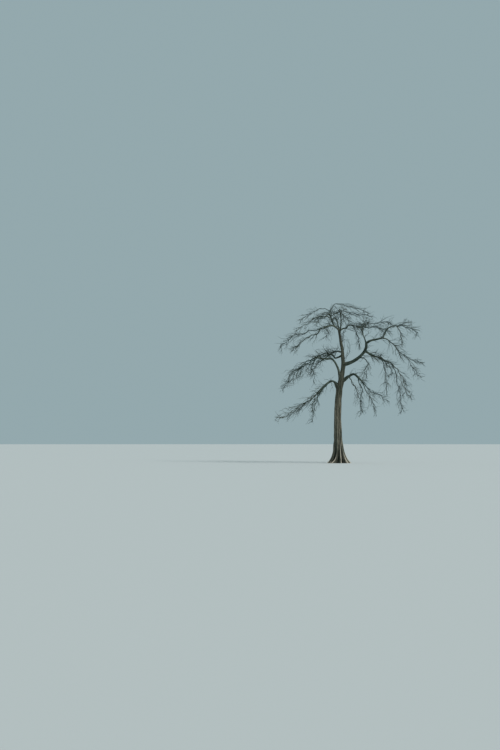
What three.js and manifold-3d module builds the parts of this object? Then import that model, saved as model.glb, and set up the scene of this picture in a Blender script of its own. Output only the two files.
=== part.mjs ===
// A dead tree, bare of leaves: a tall trunk, fluted and flared into buttress roots at its foot,
// winding boughs that arch out and hang down at their ends, and a crown of bare drooping twigs.
// Millimetres, +Z up. Seen from the front, X runs to the right and Y to the back.
// The origin is in the middle of the flat cut under the trunk, at ground level.

import * as THREE from "three";
import { mergeVertices } from "three/addons/utils/BufferGeometryUtils.js";
import Module from "manifold-3d";

const wasm = await Module();
wasm.setup();

// Driving dimensions
const CLEARANCE = 0.3; // between a limb and what carries it
const LIMB_SIDES = 6;
const LIMB_STEP = 520; // length of one straight piece of a limb
const COLLAR_SWELL = 0.45; // how much thicker a limb is where it leaves its parent
const COLLAR_LENGTH = 260;
const ROOT_SHARE = 0.92; // thickest root of a limb, as a share of its parent's radius there
const STEM_SIDES = 4;
const STEM_STEPS = 5;
const STEM_SWAY = 0.05; // how far a stem winds from side to side, as a share of its length
const STEM_TIP_RADIUS = 8;
const TWIG_SIDES = 3;
const TWIG_STEPS = 2;
const TWIG_THICKNESS = 0.5; // a twig's radius at its root, as a share of its parent's there
const SIDE_TWIG_STEPS = 1;
const SIDE_TWIG_SHARE = 0.55; // length of a side twig, as a share of its twig's
const DROOP = 0.14; // how much a twig bends down at each step
const WANDER = 0.38; // how much it changes its way at each step
const TWIG_CLEARANCE = 12; // least air between a twig and a limb or another mass
const SMOOTHING = 1.5; // slivers left by joining twigs are taken out up to this size
const SPACE = 1.1; // how far past its spread a mass's space ends
const GOLDEN_ANGLE = 2.39996; // turns each twig on from the one before it
const UP = new THREE.Vector3(0, 0, 1);

const bark = new THREE.MeshStandardMaterial({ color: 0x6f6a5c, roughness: 0.95, metalness: 0 });
const boughBark = new THREE.MeshStandardMaterial({ color: 0x4c4d42, roughness: 0.95, metalness: 0 });
const twigBark = new THREE.MeshStandardMaterial({ color: 0x3f4138, roughness: 0.9, metalness: 0 });

// The trunk: where its middle lies and how thick it is at each height
const TRUNK_SIDES = 36;
const TRUNK_RINGS = 14;
const TRUNK_CROWDING = 1.7; // the rings stand closer towards the ground
const TRUNK = [
  { at: [0, 0, 0], radius: 400 },
  { at: [-30, 20, 2000], radius: 385 },
  { at: [-60, 30, 4200], radius: 345 },
  { at: [0, 0, 6000], radius: 325 },
  { at: [170, -20, 7600], radius: 300 },
  { at: [380, 0, 8700], radius: 225 },
  { at: [500, 20, 9900], radius: 175 },
  { at: [440, 20, 11200], radius: 145 },
  { at: [250, 0, 12350], radius: 120 },
  { at: [110, 0, 13250], radius: 100 },
];
// Each buttress root: its compass direction in degrees from +X towards +Y, how far it reaches
// past the trunk at the ground, how high it climbs before it fades, and its half-width in degrees
const BUTTRESSES = [
  { toward: 8, reach: 720, rise: 650, width: 15 },
  { toward: 52, reach: 560, rise: 560, width: 14 },
  { toward: 96, reach: 680, rise: 640, width: 16 },
  { toward: 141, reach: 560, rise: 540, width: 14 },
  { toward: 184, reach: 560, rise: 540, width: 15 },
  { toward: 222, reach: 600, rise: 480, width: 13 },
  { toward: 250, reach: 360, rise: 620, width: 11 },
  { toward: 292, reach: 480, rise: 1100, width: 11 },
  { toward: 325, reach: 640, rise: 700, width: 13 },
];
const FLARE = { reach: 200, rise: 1300 }; // the foot's swelling between the roots
const FOOT_SWELL = 500; // how far the roots stand out on the whole, as the twigs see them
const FLUTE = { depth: 22, rise: 5200 }; // the roots' ridges run up the trunk and fade

// The boughs, each from its parent, in the order in which they are made. A route starts
// inside its parent, or at its tip where "at" is "tip".
const BOUGHS = [
  { name: "right_arm", from: "trunk", radii: [190, 125],
    route: [[470, 0, 9830], [1000, -120, 9900], [1560, -330, 10120], [2150, -600, 10520],
      [2600, -800, 11000], [2790, -880, 11480], [2800, -900, 11900]] },
  { name: "right_cross", from: "right_arm", radii: [112, 82],
    route: [[2790, -890, 11840], [3200, -1000, 12060], [3840, -1150, 12190], [4420, -1300, 12320]] },
  { name: "right_crook", from: "right_cross", at: "tip", radii: [76, 48],
    route: [[4420, -1300, 12320], [4640, -1370, 12800], [4890, -1450, 13200],
      [5340, -1550, 13430], [5780, -1620, 13450]] },
  { name: "right_outer", from: "right_cross", radii: [56, 34],
    route: [[4340, -1280, 12290], [4760, -1150, 12210], [5220, -900, 11880], [5700, -650, 11500],
      [6060, -500, 10960], [6600, -350, 10620]] },
  { name: "right_riser", from: "right_arm", radii: [60, 40],
    route: [[2780, -880, 11800], [2660, -960, 12230], [2440, -1040, 12800], [2380, -1100, 13260],
      [2600, -1200, 13620]] },
  { name: "right_low", from: "right_arm", radii: [108, 78],
    route: [[2640, -830, 11080], [3160, -560, 10800], [3730, -100, 10570], [4300, 400, 10510]] },
  { name: "right_low_outer", from: "right_low", at: "tip", radii: [70, 48],
    route: [[4300, 400, 10510], [4740, 750, 10180], [5200, 1050, 10060], [5480, 1200, 9850]] },
  { name: "right_knee", from: "trunk", radii: [140, 92],
    route: [[320, -40, 8080], [640, -140, 8240], [1090, -420, 8600], [1550, -760, 8780],
      [2010, -1080, 8400], [2470, -1350, 7880]] },
  { name: "left_arm", from: "trunk", radii: [125, 68],
    route: [[230, -20, 8250], [50, -160, 9240], [-130, -260, 9700], [-370, -400, 10110],
      [-700, -540, 10370], [-1230, -700, 10320], [-1740, -850, 10370], [-2100, -950, 10430],
      [-2400, -1060, 10320]] },
  { name: "left_mid", from: "trunk", radii: [88, 52],
    route: [[440, 60, 10740], [60, 260, 10560], [-310, 470, 10500], [-480, 600, 10760],
      [-960, 850, 10940], [-1430, 1050, 10960], [-1850, 1230, 10800]] },
  { name: "left_top", from: "trunk", at: "tip", radii: [92, 56],
    route: [[110, 0, 13250], [-120, -20, 13480], [-460, -80, 13680], [-900, -200, 13660],
      [-1330, -330, 13480], [-1840, -450, 13360]] },
  { name: "left_curl", from: "left_top", radii: [50, 36],
    route: [[-1800, -445, 13370], [-1880, -520, 13050], [-2160, -680, 12760], [-2600, -850, 12680],
      [-2950, -1000, 12420]] },
  { name: "top_riser", from: "left_top", radii: [72, 40],
    route: [[-260, -35, 13600], [-480, 60, 13960], [-640, 130, 14450], [-790, 180, 14950],
      [-700, 160, 15400]] },
  { name: "top_right", from: "trunk", radii: [76, 42],
    route: [[140, 0, 13120], [500, 60, 13400], [860, 180, 13480], [1080, 320, 13760],
      [1560, 500, 13760], [2080, 660, 13640], [2650, 850, 13660]] },
  { name: "front_top", from: "trunk", radii: [74, 44],
    route: [[190, 0, 12900], [260, -400, 13300], [330, -900, 14050], [260, -1600, 14700],
      [160, -2350, 14880]] },
  { name: "back_top", from: "trunk", radii: [76, 44],
    route: [[240, 0, 12550], [180, 450, 13150], [-20, 1050, 14050], [-250, 1750, 14650],
      [-400, 2500, 14780]] },
  { name: "mid_back", from: "trunk", radii: [84, 46],
    route: [[450, 20, 11020], [220, 520, 11120], [-200, 1200, 11230], [-620, 1950, 11150],
      [-1000, 2600, 10880]] },
  { name: "mid_front", from: "right_arm", radii: [70, 42],
    route: [[1560, -330, 10120], [1780, -820, 10200], [2150, -1500, 10330], [2480, -2150, 10260],
      [2750, -2700, 10000]] },
  { name: "low_back", from: "trunk", radii: [96, 56],
    route: [[240, 20, 7900], [480, 420, 8250], [800, 1050, 8620], [1060, 1750, 8760],
      [1250, 2450, 8480]] },
  { name: "low_front", from: "trunk", radii: [82, 46],
    route: [[120, -40, 7300], [-120, -460, 7750], [-430, -1050, 8060], [-780, -1700, 8020],
      [-1060, -2300, 7680]] },
  { name: "left_low", from: "trunk", radii: [112, 72],
    route: [[60, 0, 7200], [-180, -60, 7620], [-380, -160, 8060], [-700, -320, 8130],
      [-1230, -580, 7780], [-1600, -740, 7420], [-2050, -900, 6960]] },
  { name: "left_low_back", from: "trunk", radii: [88, 50],
    route: [[100, 40, 7520], [-160, 480, 7980], [-560, 1080, 8180], [-1050, 1650, 7980],
      [-1500, 2150, 7560]] },
];

// The masses of twigs. Each grows on one stem that leaves its bough at a share of the
// bough's length, ends at a tip and falls there at an angle in degrees. Its space reaches
// a spread from the stem, and the last number is how many main twigs the stem may carry.
const MASSES = [
  ["right_top", "right_crook", 1, [7800, -2150, 12700], 40, 800, 11],
  ["right_top_high", "right_crook", 0.86, [7350, -1100, 13800], 15, 520, 8],
  ["right_crook_drop", "right_crook", 0.95, [6250, -1950, 11400], 80, 520, 7],
  ["right_point", "right_outer", 1, [8560, -300, 9900], 8, 480, 8],
  ["right_fall", "right_outer", 0.93, [8320, 300, 8400], 30, 600, 9],
  ["crown_right", "right_riser", 0.97, [5600, -500, 13550], 20, 760, 9],
  ["low_right_main", "right_low_outer", 1, [7400, 1900, 6350], 45, 850, 10],
  ["low_right_drop", "right_low_outer", 0.9, [6150, 900, 4850], 85, 720, 11],
  ["low_right_inner", "right_low", 0.93, [4800, 700, 6700], 80, 640, 9],
  ["low_right_back", "right_low", 0.8, [5500, 4100, 8900], 60, 850, 10],
  ["knee_main", "right_knee", 1, [4950, -2900, 5950], 25, 750, 10],
  ["knee_outer", "right_knee", 0.83, [3750, -1300, 4550], 75, 680, 8],
  ["knee_drop", "right_knee", 0.7, [2250, -1450, 4700], 88, 620, 9],
  ["left_mid_main", "left_arm", 1, [-5650, -2200, 7300], 38, 800, 11],
  ["left_mid_front", "left_arm", 0.9, [-3900, -3600, 8300], 50, 800, 10],
  ["left_mid_drop", "left_arm", 0.96, [-2350, -700, 7850], 85, 420, 6],
  ["left_mid_back", "left_mid", 1, [-5400, 2600, 7800], 42, 850, 10],
  ["left_top_outer", "left_top", 1, [-5800, -900, 11250], 48, 800, 11],
  ["left_curl_drop", "left_curl", 1, [-4500, -2100, 10950], 50, 640, 9],
  ["top", "top_riser", 1, [3150, 400, 15000], 22, 620, 11],
  ["top_left", "top_riser", 0.9, [-3850, 200, 14250], 42, 700, 10],
  ["top_back", "top_riser", 0.72, [-2300, 2700, 14500], 25, 780, 10],
  ["top_inner_left", "top_riser", 0.5, [-4300, -1500, 13000], 35, 700, 10],
  ["top_inner_right", "top_riser", 0.6, [3500, -900, 14450], 10, 620, 10],
  ["top_right", "top_right", 1, [5300, 2300, 13000], 45, 700, 9],
  ["top_right_back", "top_right", 0.7, [3300, 3300, 14350], 20, 760, 10],
  ["top_right_drop", "top_right", 0.55, [2250, 1000, 11300], 75, 480, 7],
  ["front_top", "front_top", 1, [1000, -5600, 13150], 50, 850, 11],
  ["front_top_left", "front_top", 0.88, [-2300, -4400, 13450], 40, 780, 9],
  ["back_top", "back_top", 1, [-1300, 5600, 13050], 50, 850, 10],
  ["mid_back", "mid_back", 1, [-3000, 5000, 9000], 60, 850, 10],
  ["mid_front", "mid_front", 1, [2300, -5100, 7900], 60, 800, 10],
  ["low_back", "low_back", 1, [2500, 4700, 5100], 72, 800, 9],
  ["low_front", "low_front", 1, [-2400, -4100, 4700], 75, 700, 9],
  ["left_low_main", "left_low", 1, [-6300, -1700, 4550], 8, 740, 11],
  ["left_low_drop", "left_low", 0.93, [-2600, -1500, 3950], 85, 560, 8],
  ["left_low_back", "left_low_back", 1, [-4300, 4000, 5200], 50, 850, 10],
].map(([name, on, at, tip, fall, spread, twigs]) => ({ name, on, at, tip, fall, spread, twigs }));

// Small tools

// A stream of repeatable numbers from 0 to 1.
function seeded(seed) {
  let state = (seed % 2147483646) + 1;
  const draw = () => (state = (state * 48271) % 2147483647) / 2147483647;
  draw();
  draw();
  return draw;
}

function seedOf(parentSeed, index) {
  return (parentSeed * 7919 + index * 104729 + 12345) % 2147483647;
}

function mix(a, b, share) {
  return a + (b - a) * share;
}

function vector([x, y, z]) {
  return new THREE.Vector3(x, y, z);
}

// The direction of a line of points at each of its points.
function tangents(points) {
  return points.map((_, i) =>
    points[Math.min(i + 1, points.length - 1)].clone().sub(points[Math.max(i - 1, 0)]).normalize());
}

// A closed tube with a ring of corners round each point, or a point at the end where the
// last radius is 0: a cylinder whose rings are moved onto the line, each turned on from the
// ring before it without twisting.
function tube(points, radii, sides) {
  const rings = points.length - 1;
  const geometry = new THREE.CylinderGeometry(Math.min(radii[rings], 1), 1, 1, sides, rings);
  const along = tangents(points);
  const frames = [];
  const beside = Math.abs(along[0].z) > 0.9 ? new THREE.Vector3(1, 0, 0) : UP;
  const across = new THREE.Vector3().crossVectors(along[0], beside);
  for (const way of along) {
    across.addScaledVector(way, -across.dot(way)).normalize();
    frames.push({ normal: across.clone(), binormal: new THREE.Vector3().crossVectors(way, across) });
  }
  const place = geometry.getAttribute("position");
  for (let i = 0; i < place.count; i++) {
    const ring = Math.round((place.getY(i) + 0.5) * rings);
    const { normal, binormal } = frames[ring];
    const out = radii[ring] / Math.max(Math.hypot(place.getX(i), place.getZ(i)), 1e-6);
    const corner = points[ring].clone()
      .addScaledVector(binormal, place.getX(i) * out)
      .addScaledVector(normal, place.getZ(i) * out);
    place.setXYZ(i, corner.x, corner.y, corner.z);
  }
  return geometry;
}

function solid(geometry) {
  geometry.deleteAttribute("normal");
  geometry.deleteAttribute("uv");
  const merged = mergeVertices(geometry, 1e-3);
  return new wasm.Manifold(new wasm.Mesh({
    numProp: 3,
    vertProperties: merged.getAttribute("position").array,
    triVerts: new Uint32Array(merged.index.array),
  }));
}

// The largest piece of a solid. Scraps that a cut leaves loose are dropped.
function whole(shape) {
  return shape.decompose().reduce((most, piece) => (piece.volume() > most.volume() ? piece : most));
}

function boxesMeet(a, b) {
  return [0, 1, 2].every((axis) => a.min[axis] <= b.max[axis] && b.min[axis] <= a.max[axis]);
}

function node(name, shape, material) {
  const { numProp, numVert, vertProperties, triVerts } = shape.getMesh();
  const corners = new Float32Array(numVert * 3);
  for (let i = 0; i < numVert; i++) {
    corners.set(vertProperties.subarray(i * numProp, i * numProp + 3), i * 3);
  }
  const geometry = new THREE.BufferGeometry();
  geometry.setAttribute("position", new THREE.BufferAttribute(corners, 3));
  geometry.setIndex(new THREE.BufferAttribute(triVerts, 1));
  geometry.computeVertexNormals();
  const mesh = new THREE.Mesh(geometry, material);
  mesh.name = name;
  return mesh;
}

// The least distance between the pieces of line a-b and c-d.
function gapBetween(a, b, c, d) {
  const first = b.clone().sub(a);
  const second = d.clone().sub(c);
  const apart = a.clone().sub(c);
  const aa = first.dot(first);
  const bb = second.dot(second);
  const ab = first.dot(second);
  const ac = first.dot(apart);
  const bc = second.dot(apart);
  const flat = aa * bb - ab * ab;
  let s = flat > 1e-9 ? THREE.MathUtils.clamp((ab * bc - ac * bb) / flat, 0, 1) : 0;
  const t = THREE.MathUtils.clamp((ab * s + bc) / bb, 0, 1);
  s = THREE.MathUtils.clamp((ab * t - ac) / aa, 0, 1);
  return apart.addScaledVector(first, s).addScaledVector(second, -t).length();
}

// How far a point is from a tapering line, and the line's radius at the nearest place.
function nearest(point, line) {
  let best = { gap: Infinity };
  for (let i = 1; i < line.points.length; i++) {
    const piece = new THREE.Line3(line.points[i - 1], line.points[i]);
    const part = piece.closestPointToPointParameter(point, true);
    const gap = piece.at(part, new THREE.Vector3()).distanceTo(point);
    if (gap < best.gap) best = { gap, radius: mix(line.radii[i - 1], line.radii[i], part) };
  }
  return best;
}

// True where two tapering lines come nearer to each other than the given air.
function touches(one, other, air) {
  for (let i = 1; i < one.points.length; i++) {
    for (let k = 1; k < other.points.length; k++) {
      const gap = gapBetween(one.points[i - 1], one.points[i], other.points[k - 1], other.points[k]);
      if (gap < one.radii[i - 1] + other.radii[k - 1] + air) return true;
    }
  }
  return false;
}

// The trunk

const trunkRoute = new THREE.CatmullRomCurve3(TRUNK.map((station) => vector(station.at)));

function trunkAt(share) {
  const place = share * (TRUNK.length - 1);
  const below = Math.min(Math.floor(place), TRUNK.length - 2);
  return {
    middle: trunkRoute.getPoint(share),
    radius: mix(TRUNK[below].radius, TRUNK[below + 1].radius, place - below),
  };
}

// The trunk's surface at a height and a compass direction: the round stem, the foot's
// swelling, the buttress roots and the ridges that run up from them.
function trunkSurface(radius, height, direction) {
  let out = radius + FLARE.reach * Math.exp(-height / FLARE.rise);
  for (const root of BUTTRESSES) {
    const turn = THREE.MathUtils.euclideanModulo(direction - root.toward + 180, 360) - 180;
    const ridge = Math.exp(-((turn / root.width) ** 2));
    out += ridge * root.reach * Math.exp(-height / root.rise);
    out += ridge * FLUTE.depth * Math.exp(-height / FLUTE.rise);
  }
  return out;
}

function trunkGeometry(grow) {
  const geometry = new THREE.CylinderGeometry(1, 1, 1, TRUNK_SIDES, TRUNK_RINGS);
  const place = geometry.getAttribute("position");
  for (let i = 0; i < place.count; i++) {
    const share = (place.getY(i) + 0.5) ** TRUNK_CROWDING;
    const { middle, radius } = trunkAt(share);
    const direction = THREE.MathUtils.radToDeg(Math.atan2(place.getX(i), place.getZ(i)));
    const rim = Math.hypot(place.getX(i), place.getZ(i)) > 0.5;
    const out = rim ? trunkSurface(radius, middle.z, direction) + grow : 0;
    const angle = THREE.MathUtils.degToRad(direction);
    const lift = share === 1 ? grow : 0;
    place.setXYZ(i, middle.x + out * Math.cos(angle), middle.y + out * Math.sin(angle), middle.z + lift);
  }
  return geometry;
}

const trunkLine = {
  points: Array.from({ length: 14 }, (_, i) => trunkAt(i / 13).middle),
  radii: Array.from({ length: 14 }, (_, i) => {
    const { middle, radius } = trunkAt(i / 13);
    return radius + FOOT_SWELL * Math.exp(-middle.z / FLARE.rise);
  }),
};

// The boughs

const lines = new Map([["trunk", trunkLine]]); // middle lines of the trunk and the boughs
const grownLimbs = []; // their solids, a clearance larger all round, to cut what they carry
const group = new THREE.Group();

function limbLine(bough) {
  const route = new THREE.CatmullRomCurve3(bough.route.map(vector));
  const rootRoom = ROOT_SHARE * nearest(vector(bough.route[0]), lines.get(bough.from)).radius;
  const length = route.getLength();
  const steps = Math.max(3, Math.round(length / LIMB_STEP));
  const points = route.getSpacedPoints(steps);
  const swell = bough.at === "tip" ? 0 : COLLAR_SWELL;
  const radii = points.map((_, i) => {
    const share = i / steps;
    const collar = 1 + swell * Math.exp(-((share * length) / COLLAR_LENGTH));
    return Math.min(mix(bough.radii[0], bough.radii[1], share) * collar, rootRoom + share * length * 0.6);
  });
  if (bough.at === "tip") points[0].addScaledVector(tangents(points)[0], CLEARANCE);
  return { points, radii };
}

// The same line with thicker rings and longer ends.
function grown(line) {
  const along = tangents(line.points);
  const points = line.points.map((point) => point.clone());
  points[0].addScaledVector(along[0], -CLEARANCE);
  points.at(-1).addScaledVector(along.at(-1), CLEARANCE);
  return { points, radii: line.radii.map((radius) => radius + CLEARANCE * 1.25) };
}

// Cuts a shape clear of every limb made before it.
function clearOfLimbs(shape) {
  let left = shape;
  for (const limb of grownLimbs) {
    if (boxesMeet(left.boundingBox(), limb.boundingBox())) left = left.subtract(limb);
  }
  return whole(left);
}

group.add(node("trunk", solid(trunkGeometry(0)), bark));
grownLimbs.push(solid(trunkGeometry(CLEARANCE * 1.5)));

for (const bough of BOUGHS) {
  const line = limbLine(bough);
  const limb = clearOfLimbs(solid(tube(line.points, line.radii, LIMB_SIDES)));
  const larger = grown(line);
  lines.set(bough.name, line);
  group.add(node(`bough_${bough.name}`, limb, boughBark));
  grownLimbs.push(solid(tube(larger.points, larger.radii, LIMB_SIDES)));
}

// The twigs

// The point, direction and radius at a share of a line's length.
function onLine(line, share) {
  const place = share * (line.points.length - 1);
  const below = Math.min(Math.floor(place), line.points.length - 2);
  const part = place - below;
  return {
    point: line.points[below].clone().lerp(line.points[below + 1], part),
    way: line.points[below + 1].clone().sub(line.points[below]).normalize(),
    radius: mix(line.radii[below], line.radii[below + 1], part),
  };
}

// The stem of a mass: it leaves its bough, arches over and falls to its tip, winding a little.
function stemLine(mass, draw) {
  const bough = lines.get(mass.on);
  const root = onLine(bough, mass.at);
  const tip = vector(mass.tip);
  const span = tip.distanceTo(root.point);
  const out = tip.clone().sub(root.point).setZ(0).normalize();
  const fall = THREE.MathUtils.degToRad(mass.fall);
  const end = out.multiplyScalar(Math.cos(fall)).addScaledVector(UP, -Math.sin(fall));
  const toTip = tip.clone().sub(root.point).normalize();
  const lead = root.way.clone().lerp(toTip, mass.at === 1 ? 0 : 0.55).normalize();
  const start = mass.at === 1 ? root.point.addScaledVector(root.way, CLEARANCE) : root.point;
  const leaving = start.clone().addScaledVector(lead, span * 0.36);
  const arriving = tip.clone().addScaledVector(end, span * -0.34);
  const points = new THREE.CubicBezierCurve3(start, leaving, arriving, tip).getPoints(STEM_STEPS);
  const along = tangents(points);
  for (let i = 1; i < STEM_STEPS; i++) {
    const side = new THREE.Vector3().crossVectors(along[i], UP).normalize();
    const sway = span * STEM_SWAY * (draw() * 2 - 1);
    const lift = span * STEM_SWAY * (draw() * 2 - 1);
    if (i > 1) points[i].addScaledVector(side, sway).addScaledVector(UP, lift);
  }
  const rootRadius = Math.min(root.radius * (mass.at === 1 ? 1 : 0.8), 48);
  const radii = points.map((_, i) => mix(rootRadius, STEM_TIP_RADIUS, (i / STEM_STEPS) ** 0.8));
  return { points, radii };
}

// One twig: it sets off from its parent at an angle, wanders, and bends down under its weight
// to a point.
function twigLine(parent, share, turn, angle, length, steps, draw) {
  const root = onLine(parent, share);
  const side = new THREE.Vector3().crossVectors(root.way, UP);
  if (side.length() < 0.2) side.set(Math.cos(turn), Math.sin(turn), 0);
  side.normalize();
  const above = new THREE.Vector3().crossVectors(side, root.way);
  const way = root.way.clone().multiplyScalar(Math.cos(angle))
    .addScaledVector(side, Math.sin(angle) * Math.cos(turn))
    .addScaledVector(above, Math.sin(angle) * Math.sin(turn));
  const radius = root.radius * TWIG_THICKNESS;
  const points = [root.point];
  for (let i = 0; i < steps; i++) {
    way.add(new THREE.Vector3(draw() - 0.5, draw() - 0.5, draw() - 0.5).multiplyScalar(WANDER));
    way.addScaledVector(UP, -DROOP).normalize();
    points.push(points.at(-1).clone().addScaledVector(way, length / steps));
  }
  return { points, radii: points.map((_, i) => radius * (1 - i / steps)) };
}

const grownTwigs = []; // every stem and twig so far, with its mass's name

// A twig without its first piece, which is sunk into its parent.
function outer(twig) {
  return { points: twig.points.slice(1), radii: twig.radii.slice(1) };
}

// A twig is kept where it stays in its mass's space, and clear of the limbs, of the other
// masses and of the twigs beside it.
function fits(twig, parent, stem, mass) {
  if (twig.points.some((point) => nearest(point, stem).gap > mass.spread * SPACE)) return false;
  for (const [name, line] of lines) {
    if (touches(name === mass.on ? outer(twig) : twig, line, TWIG_CLEARANCE)) return false;
  }
  return !grownTwigs.some((other) => {
    if (other === parent) return false;
    if (other.mass === mass.name) return touches(outer(twig), outer(other), 0);
    return touches(twig, other, TWIG_CLEARANCE);
  });
}

const stems = MASSES.map((mass, index) =>
  Object.assign(stemLine(mass, seeded(seedOf(1, index))), { mass: mass.name }));
grownTwigs.push(...stems);

MASSES.forEach((mass, index) => {
  const stem = stems[index];
  const seed = seedOf(2, index);
  const reach = stem.points[0].distanceTo(stem.points.at(-1));
  const shapes = [solid(tube(stem.points, stem.radii, STEM_SIDES))];
  const keep = (twig, parent) => {
    if (!fits(twig, parent, stem, mass)) return false;
    grownTwigs.push(Object.assign(twig, { mass: mass.name }));
    shapes.push(solid(tube(twig.points, twig.radii, TWIG_SIDES)));
    return true;
  };
  for (let i = 0; i < mass.twigs; i++) {
    const draw = seeded(seedOf(seed, i));
    const share = mix(0.14, 0.96, (i + 0.7 * draw()) / mass.twigs);
    const length = (reach * (1 - share) * 0.42 + mass.spread * 0.7) * mix(0.85, 1.15, draw());
    const angle = Math.asin(Math.min(0.85, (mass.spread * mix(0.5, 0.85, draw())) / length));
    const twig = twigLine(stem, share, i * GOLDEN_ANGLE + draw(), angle, length, TWIG_STEPS, draw);
    if (!keep(twig, stem)) continue;
    const sideDraw = seeded(seedOf(seedOf(seed, i), 0));
    const sideShare = mix(0.3, 0.55, sideDraw());
    keep(twigLine(twig, sideShare, sideDraw() * 6.28, mix(0.5, 0.9, sideDraw()), length * SIDE_TWIG_SHARE,
      SIDE_TWIG_STEPS, sideDraw), twig);
  }
  const shape = clearOfLimbs(wasm.Manifold.union(shapes).simplify(SMOOTHING));
  group.add(node(`twigs_${mass.name}`, shape, twigBark));
});

export default group;
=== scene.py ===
# A dead tree, bare of leaves: a tall trunk, fluted and flared into buttress roots at its foot,
# winding boughs that arch out and hang down at their ends, and a crown of bare drooping twigs.
# Metres, +Z up. Seen from the front, X runs to the right and Y to the back.

import math

import bmesh
import bpy
import numpy as np
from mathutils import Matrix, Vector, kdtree, noise


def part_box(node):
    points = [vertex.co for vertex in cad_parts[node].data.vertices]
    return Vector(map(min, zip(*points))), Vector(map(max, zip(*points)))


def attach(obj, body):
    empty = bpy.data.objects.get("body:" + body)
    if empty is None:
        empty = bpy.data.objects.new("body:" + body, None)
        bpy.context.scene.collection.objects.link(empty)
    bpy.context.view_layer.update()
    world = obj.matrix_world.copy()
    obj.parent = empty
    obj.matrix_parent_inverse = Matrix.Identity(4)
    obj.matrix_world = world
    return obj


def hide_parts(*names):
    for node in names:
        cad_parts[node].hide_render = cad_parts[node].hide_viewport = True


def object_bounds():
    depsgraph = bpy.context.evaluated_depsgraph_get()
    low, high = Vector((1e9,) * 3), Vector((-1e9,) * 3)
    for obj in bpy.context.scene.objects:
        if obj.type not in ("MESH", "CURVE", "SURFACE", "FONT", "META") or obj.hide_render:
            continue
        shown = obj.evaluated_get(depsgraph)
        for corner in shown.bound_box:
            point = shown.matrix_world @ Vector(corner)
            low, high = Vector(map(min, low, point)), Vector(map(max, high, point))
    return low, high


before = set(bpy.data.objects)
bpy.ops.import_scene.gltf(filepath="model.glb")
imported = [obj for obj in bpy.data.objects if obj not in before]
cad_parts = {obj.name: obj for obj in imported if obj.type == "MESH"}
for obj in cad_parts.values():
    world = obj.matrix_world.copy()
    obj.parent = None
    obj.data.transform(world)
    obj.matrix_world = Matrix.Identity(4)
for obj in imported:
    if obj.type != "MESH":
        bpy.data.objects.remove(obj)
cad_box = [np.array(corner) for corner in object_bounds()]


# The trunk is one pillar of dead wood in thin grey-brown bark, cut flat where the ground
# begins. It flares there into nine buttress roots, whose ridges run up it and fade, with grooves
# winding between them that are darkened with painted shade. It leans a little left, then bends
# right to its top fork.
TRUNK = np.array([  # where its middle lies, and its radius there
    (0.00, 0.00, 0.00, 0.400),
    (-0.03, 0.02, 2.00, 0.385),
    (-0.06, 0.03, 4.20, 0.345),
    (0.00, 0.00, 6.00, 0.325),
    (0.17, -0.02, 7.60, 0.300),
    (0.38, 0.00, 8.70, 0.225),
    (0.50, 0.02, 9.90, 0.175),
    (0.44, 0.02, 11.20, 0.145),
    (0.25, 0.00, 12.35, 0.120),
    (0.11, 0.00, 13.25, 0.100),
])
# Each root's compass direction in degrees, its reach, the height of its rise, its half-width in
# degrees, how high a highlight is painted along its back, and the degrees that its foot bends aside.
BUTTRESSES = [
    (8, 0.72, 0.65, 15, 2.0, 4),
    (52, 0.56, 0.56, 14, 1.3, -5),
    (96, 0.68, 0.64, 16, 1.6, 5),
    (141, 0.56, 0.54, 14, 1.2, -6),
    (184, 0.56, 0.54, 15, 0.9, 3),
    (216, 0.50, 0.56, 13, 0.3, -10),
    (262, 0.62, 0.48, 12, 1.4, -30),
    (292, 0.48, 1.10, 11, 2.8, -7),
    (325, 0.64, 0.70, 13, 1.8, -2),
]
SHOULDERS = [  # where the boughs leave it: height, compass direction, how far the bark swells
    (7.58, 240, 0.045), (7.65, 194, 0.060), (7.80, 120, 0.045), (8.10, 59, 0.050),
    (8.12, 343, 0.070), (8.75, 218, 0.065), (9.78, 340, 0.110), (10.68, 152, 0.050),
    (11.05, 115, 0.045), (12.75, 98, 0.040), (13.00, 280, 0.040),
]
SHOULDER_ABOVE = 0.22  # how far a swelling runs up, down and round the trunk
SHOULDER_BELOW = 0.45
SHOULDER_WIDTH = 42.0
FOOT_WIDTH = 0.58  # a root's half-width at the ground, as a share of that up the trunk
FOOT_RISE = 0.75  # how far up the roots are narrowed and bent
FLARE_REACH = 0.20  # the foot's own swelling, under the roots
FLARE_RISE = 1.30
FLUTE_DEPTH = 0.022  # the roots' ridges run up the trunk and fade
FLUTE_RISE = 5.2
TRUNK_SIDES = 200
TRUNK_ROWS = 470
ROWS_TO_FOOT = 1.5  # above 1, its rows of corners stand closer towards the foot
SEAM_GAP = 1e-5  # corners closer than this are one
ROOT_SHARPNESS = (1.3, 2.0)  # up the trunk and at the foot, where 2 is a round back
CHANNEL_WIDTH = 6.5  # half-width in degrees of the channels between the roots, darkened with painted shade
CHANNEL_DEPTH = 0.09  # at the ground, and
CHANNEL_RISE = 1.6  # how fast they grow shallower upwards, down to
FLUTE_CHANNEL = 0.034  # which lasts, and is gone at
CHANNEL_TOP = (6.5, 10.0)
CHANNEL_SWAY = 5.0  # degrees that they wind to each side
CHANNEL_WAVES = 0.9  # how fast they wind on their way up
CHANNEL_PHASE = 2.1  # how far each winds ahead of the one before it
CREST_WIDTH = 4.0  # half-width in degrees of the painted highlight along the crest of each root
CREST_FADE = 1.4  # above 1, a crest's painted highlight is full at the ground and fades further up
KNOT_DEPTH = 0.035  # how far the surface swells and sinks between the ridges
KNOT_SPREAD = 3.2  # how close they stand round the trunk, and up it
KNOT_RISE = 1.5
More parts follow.
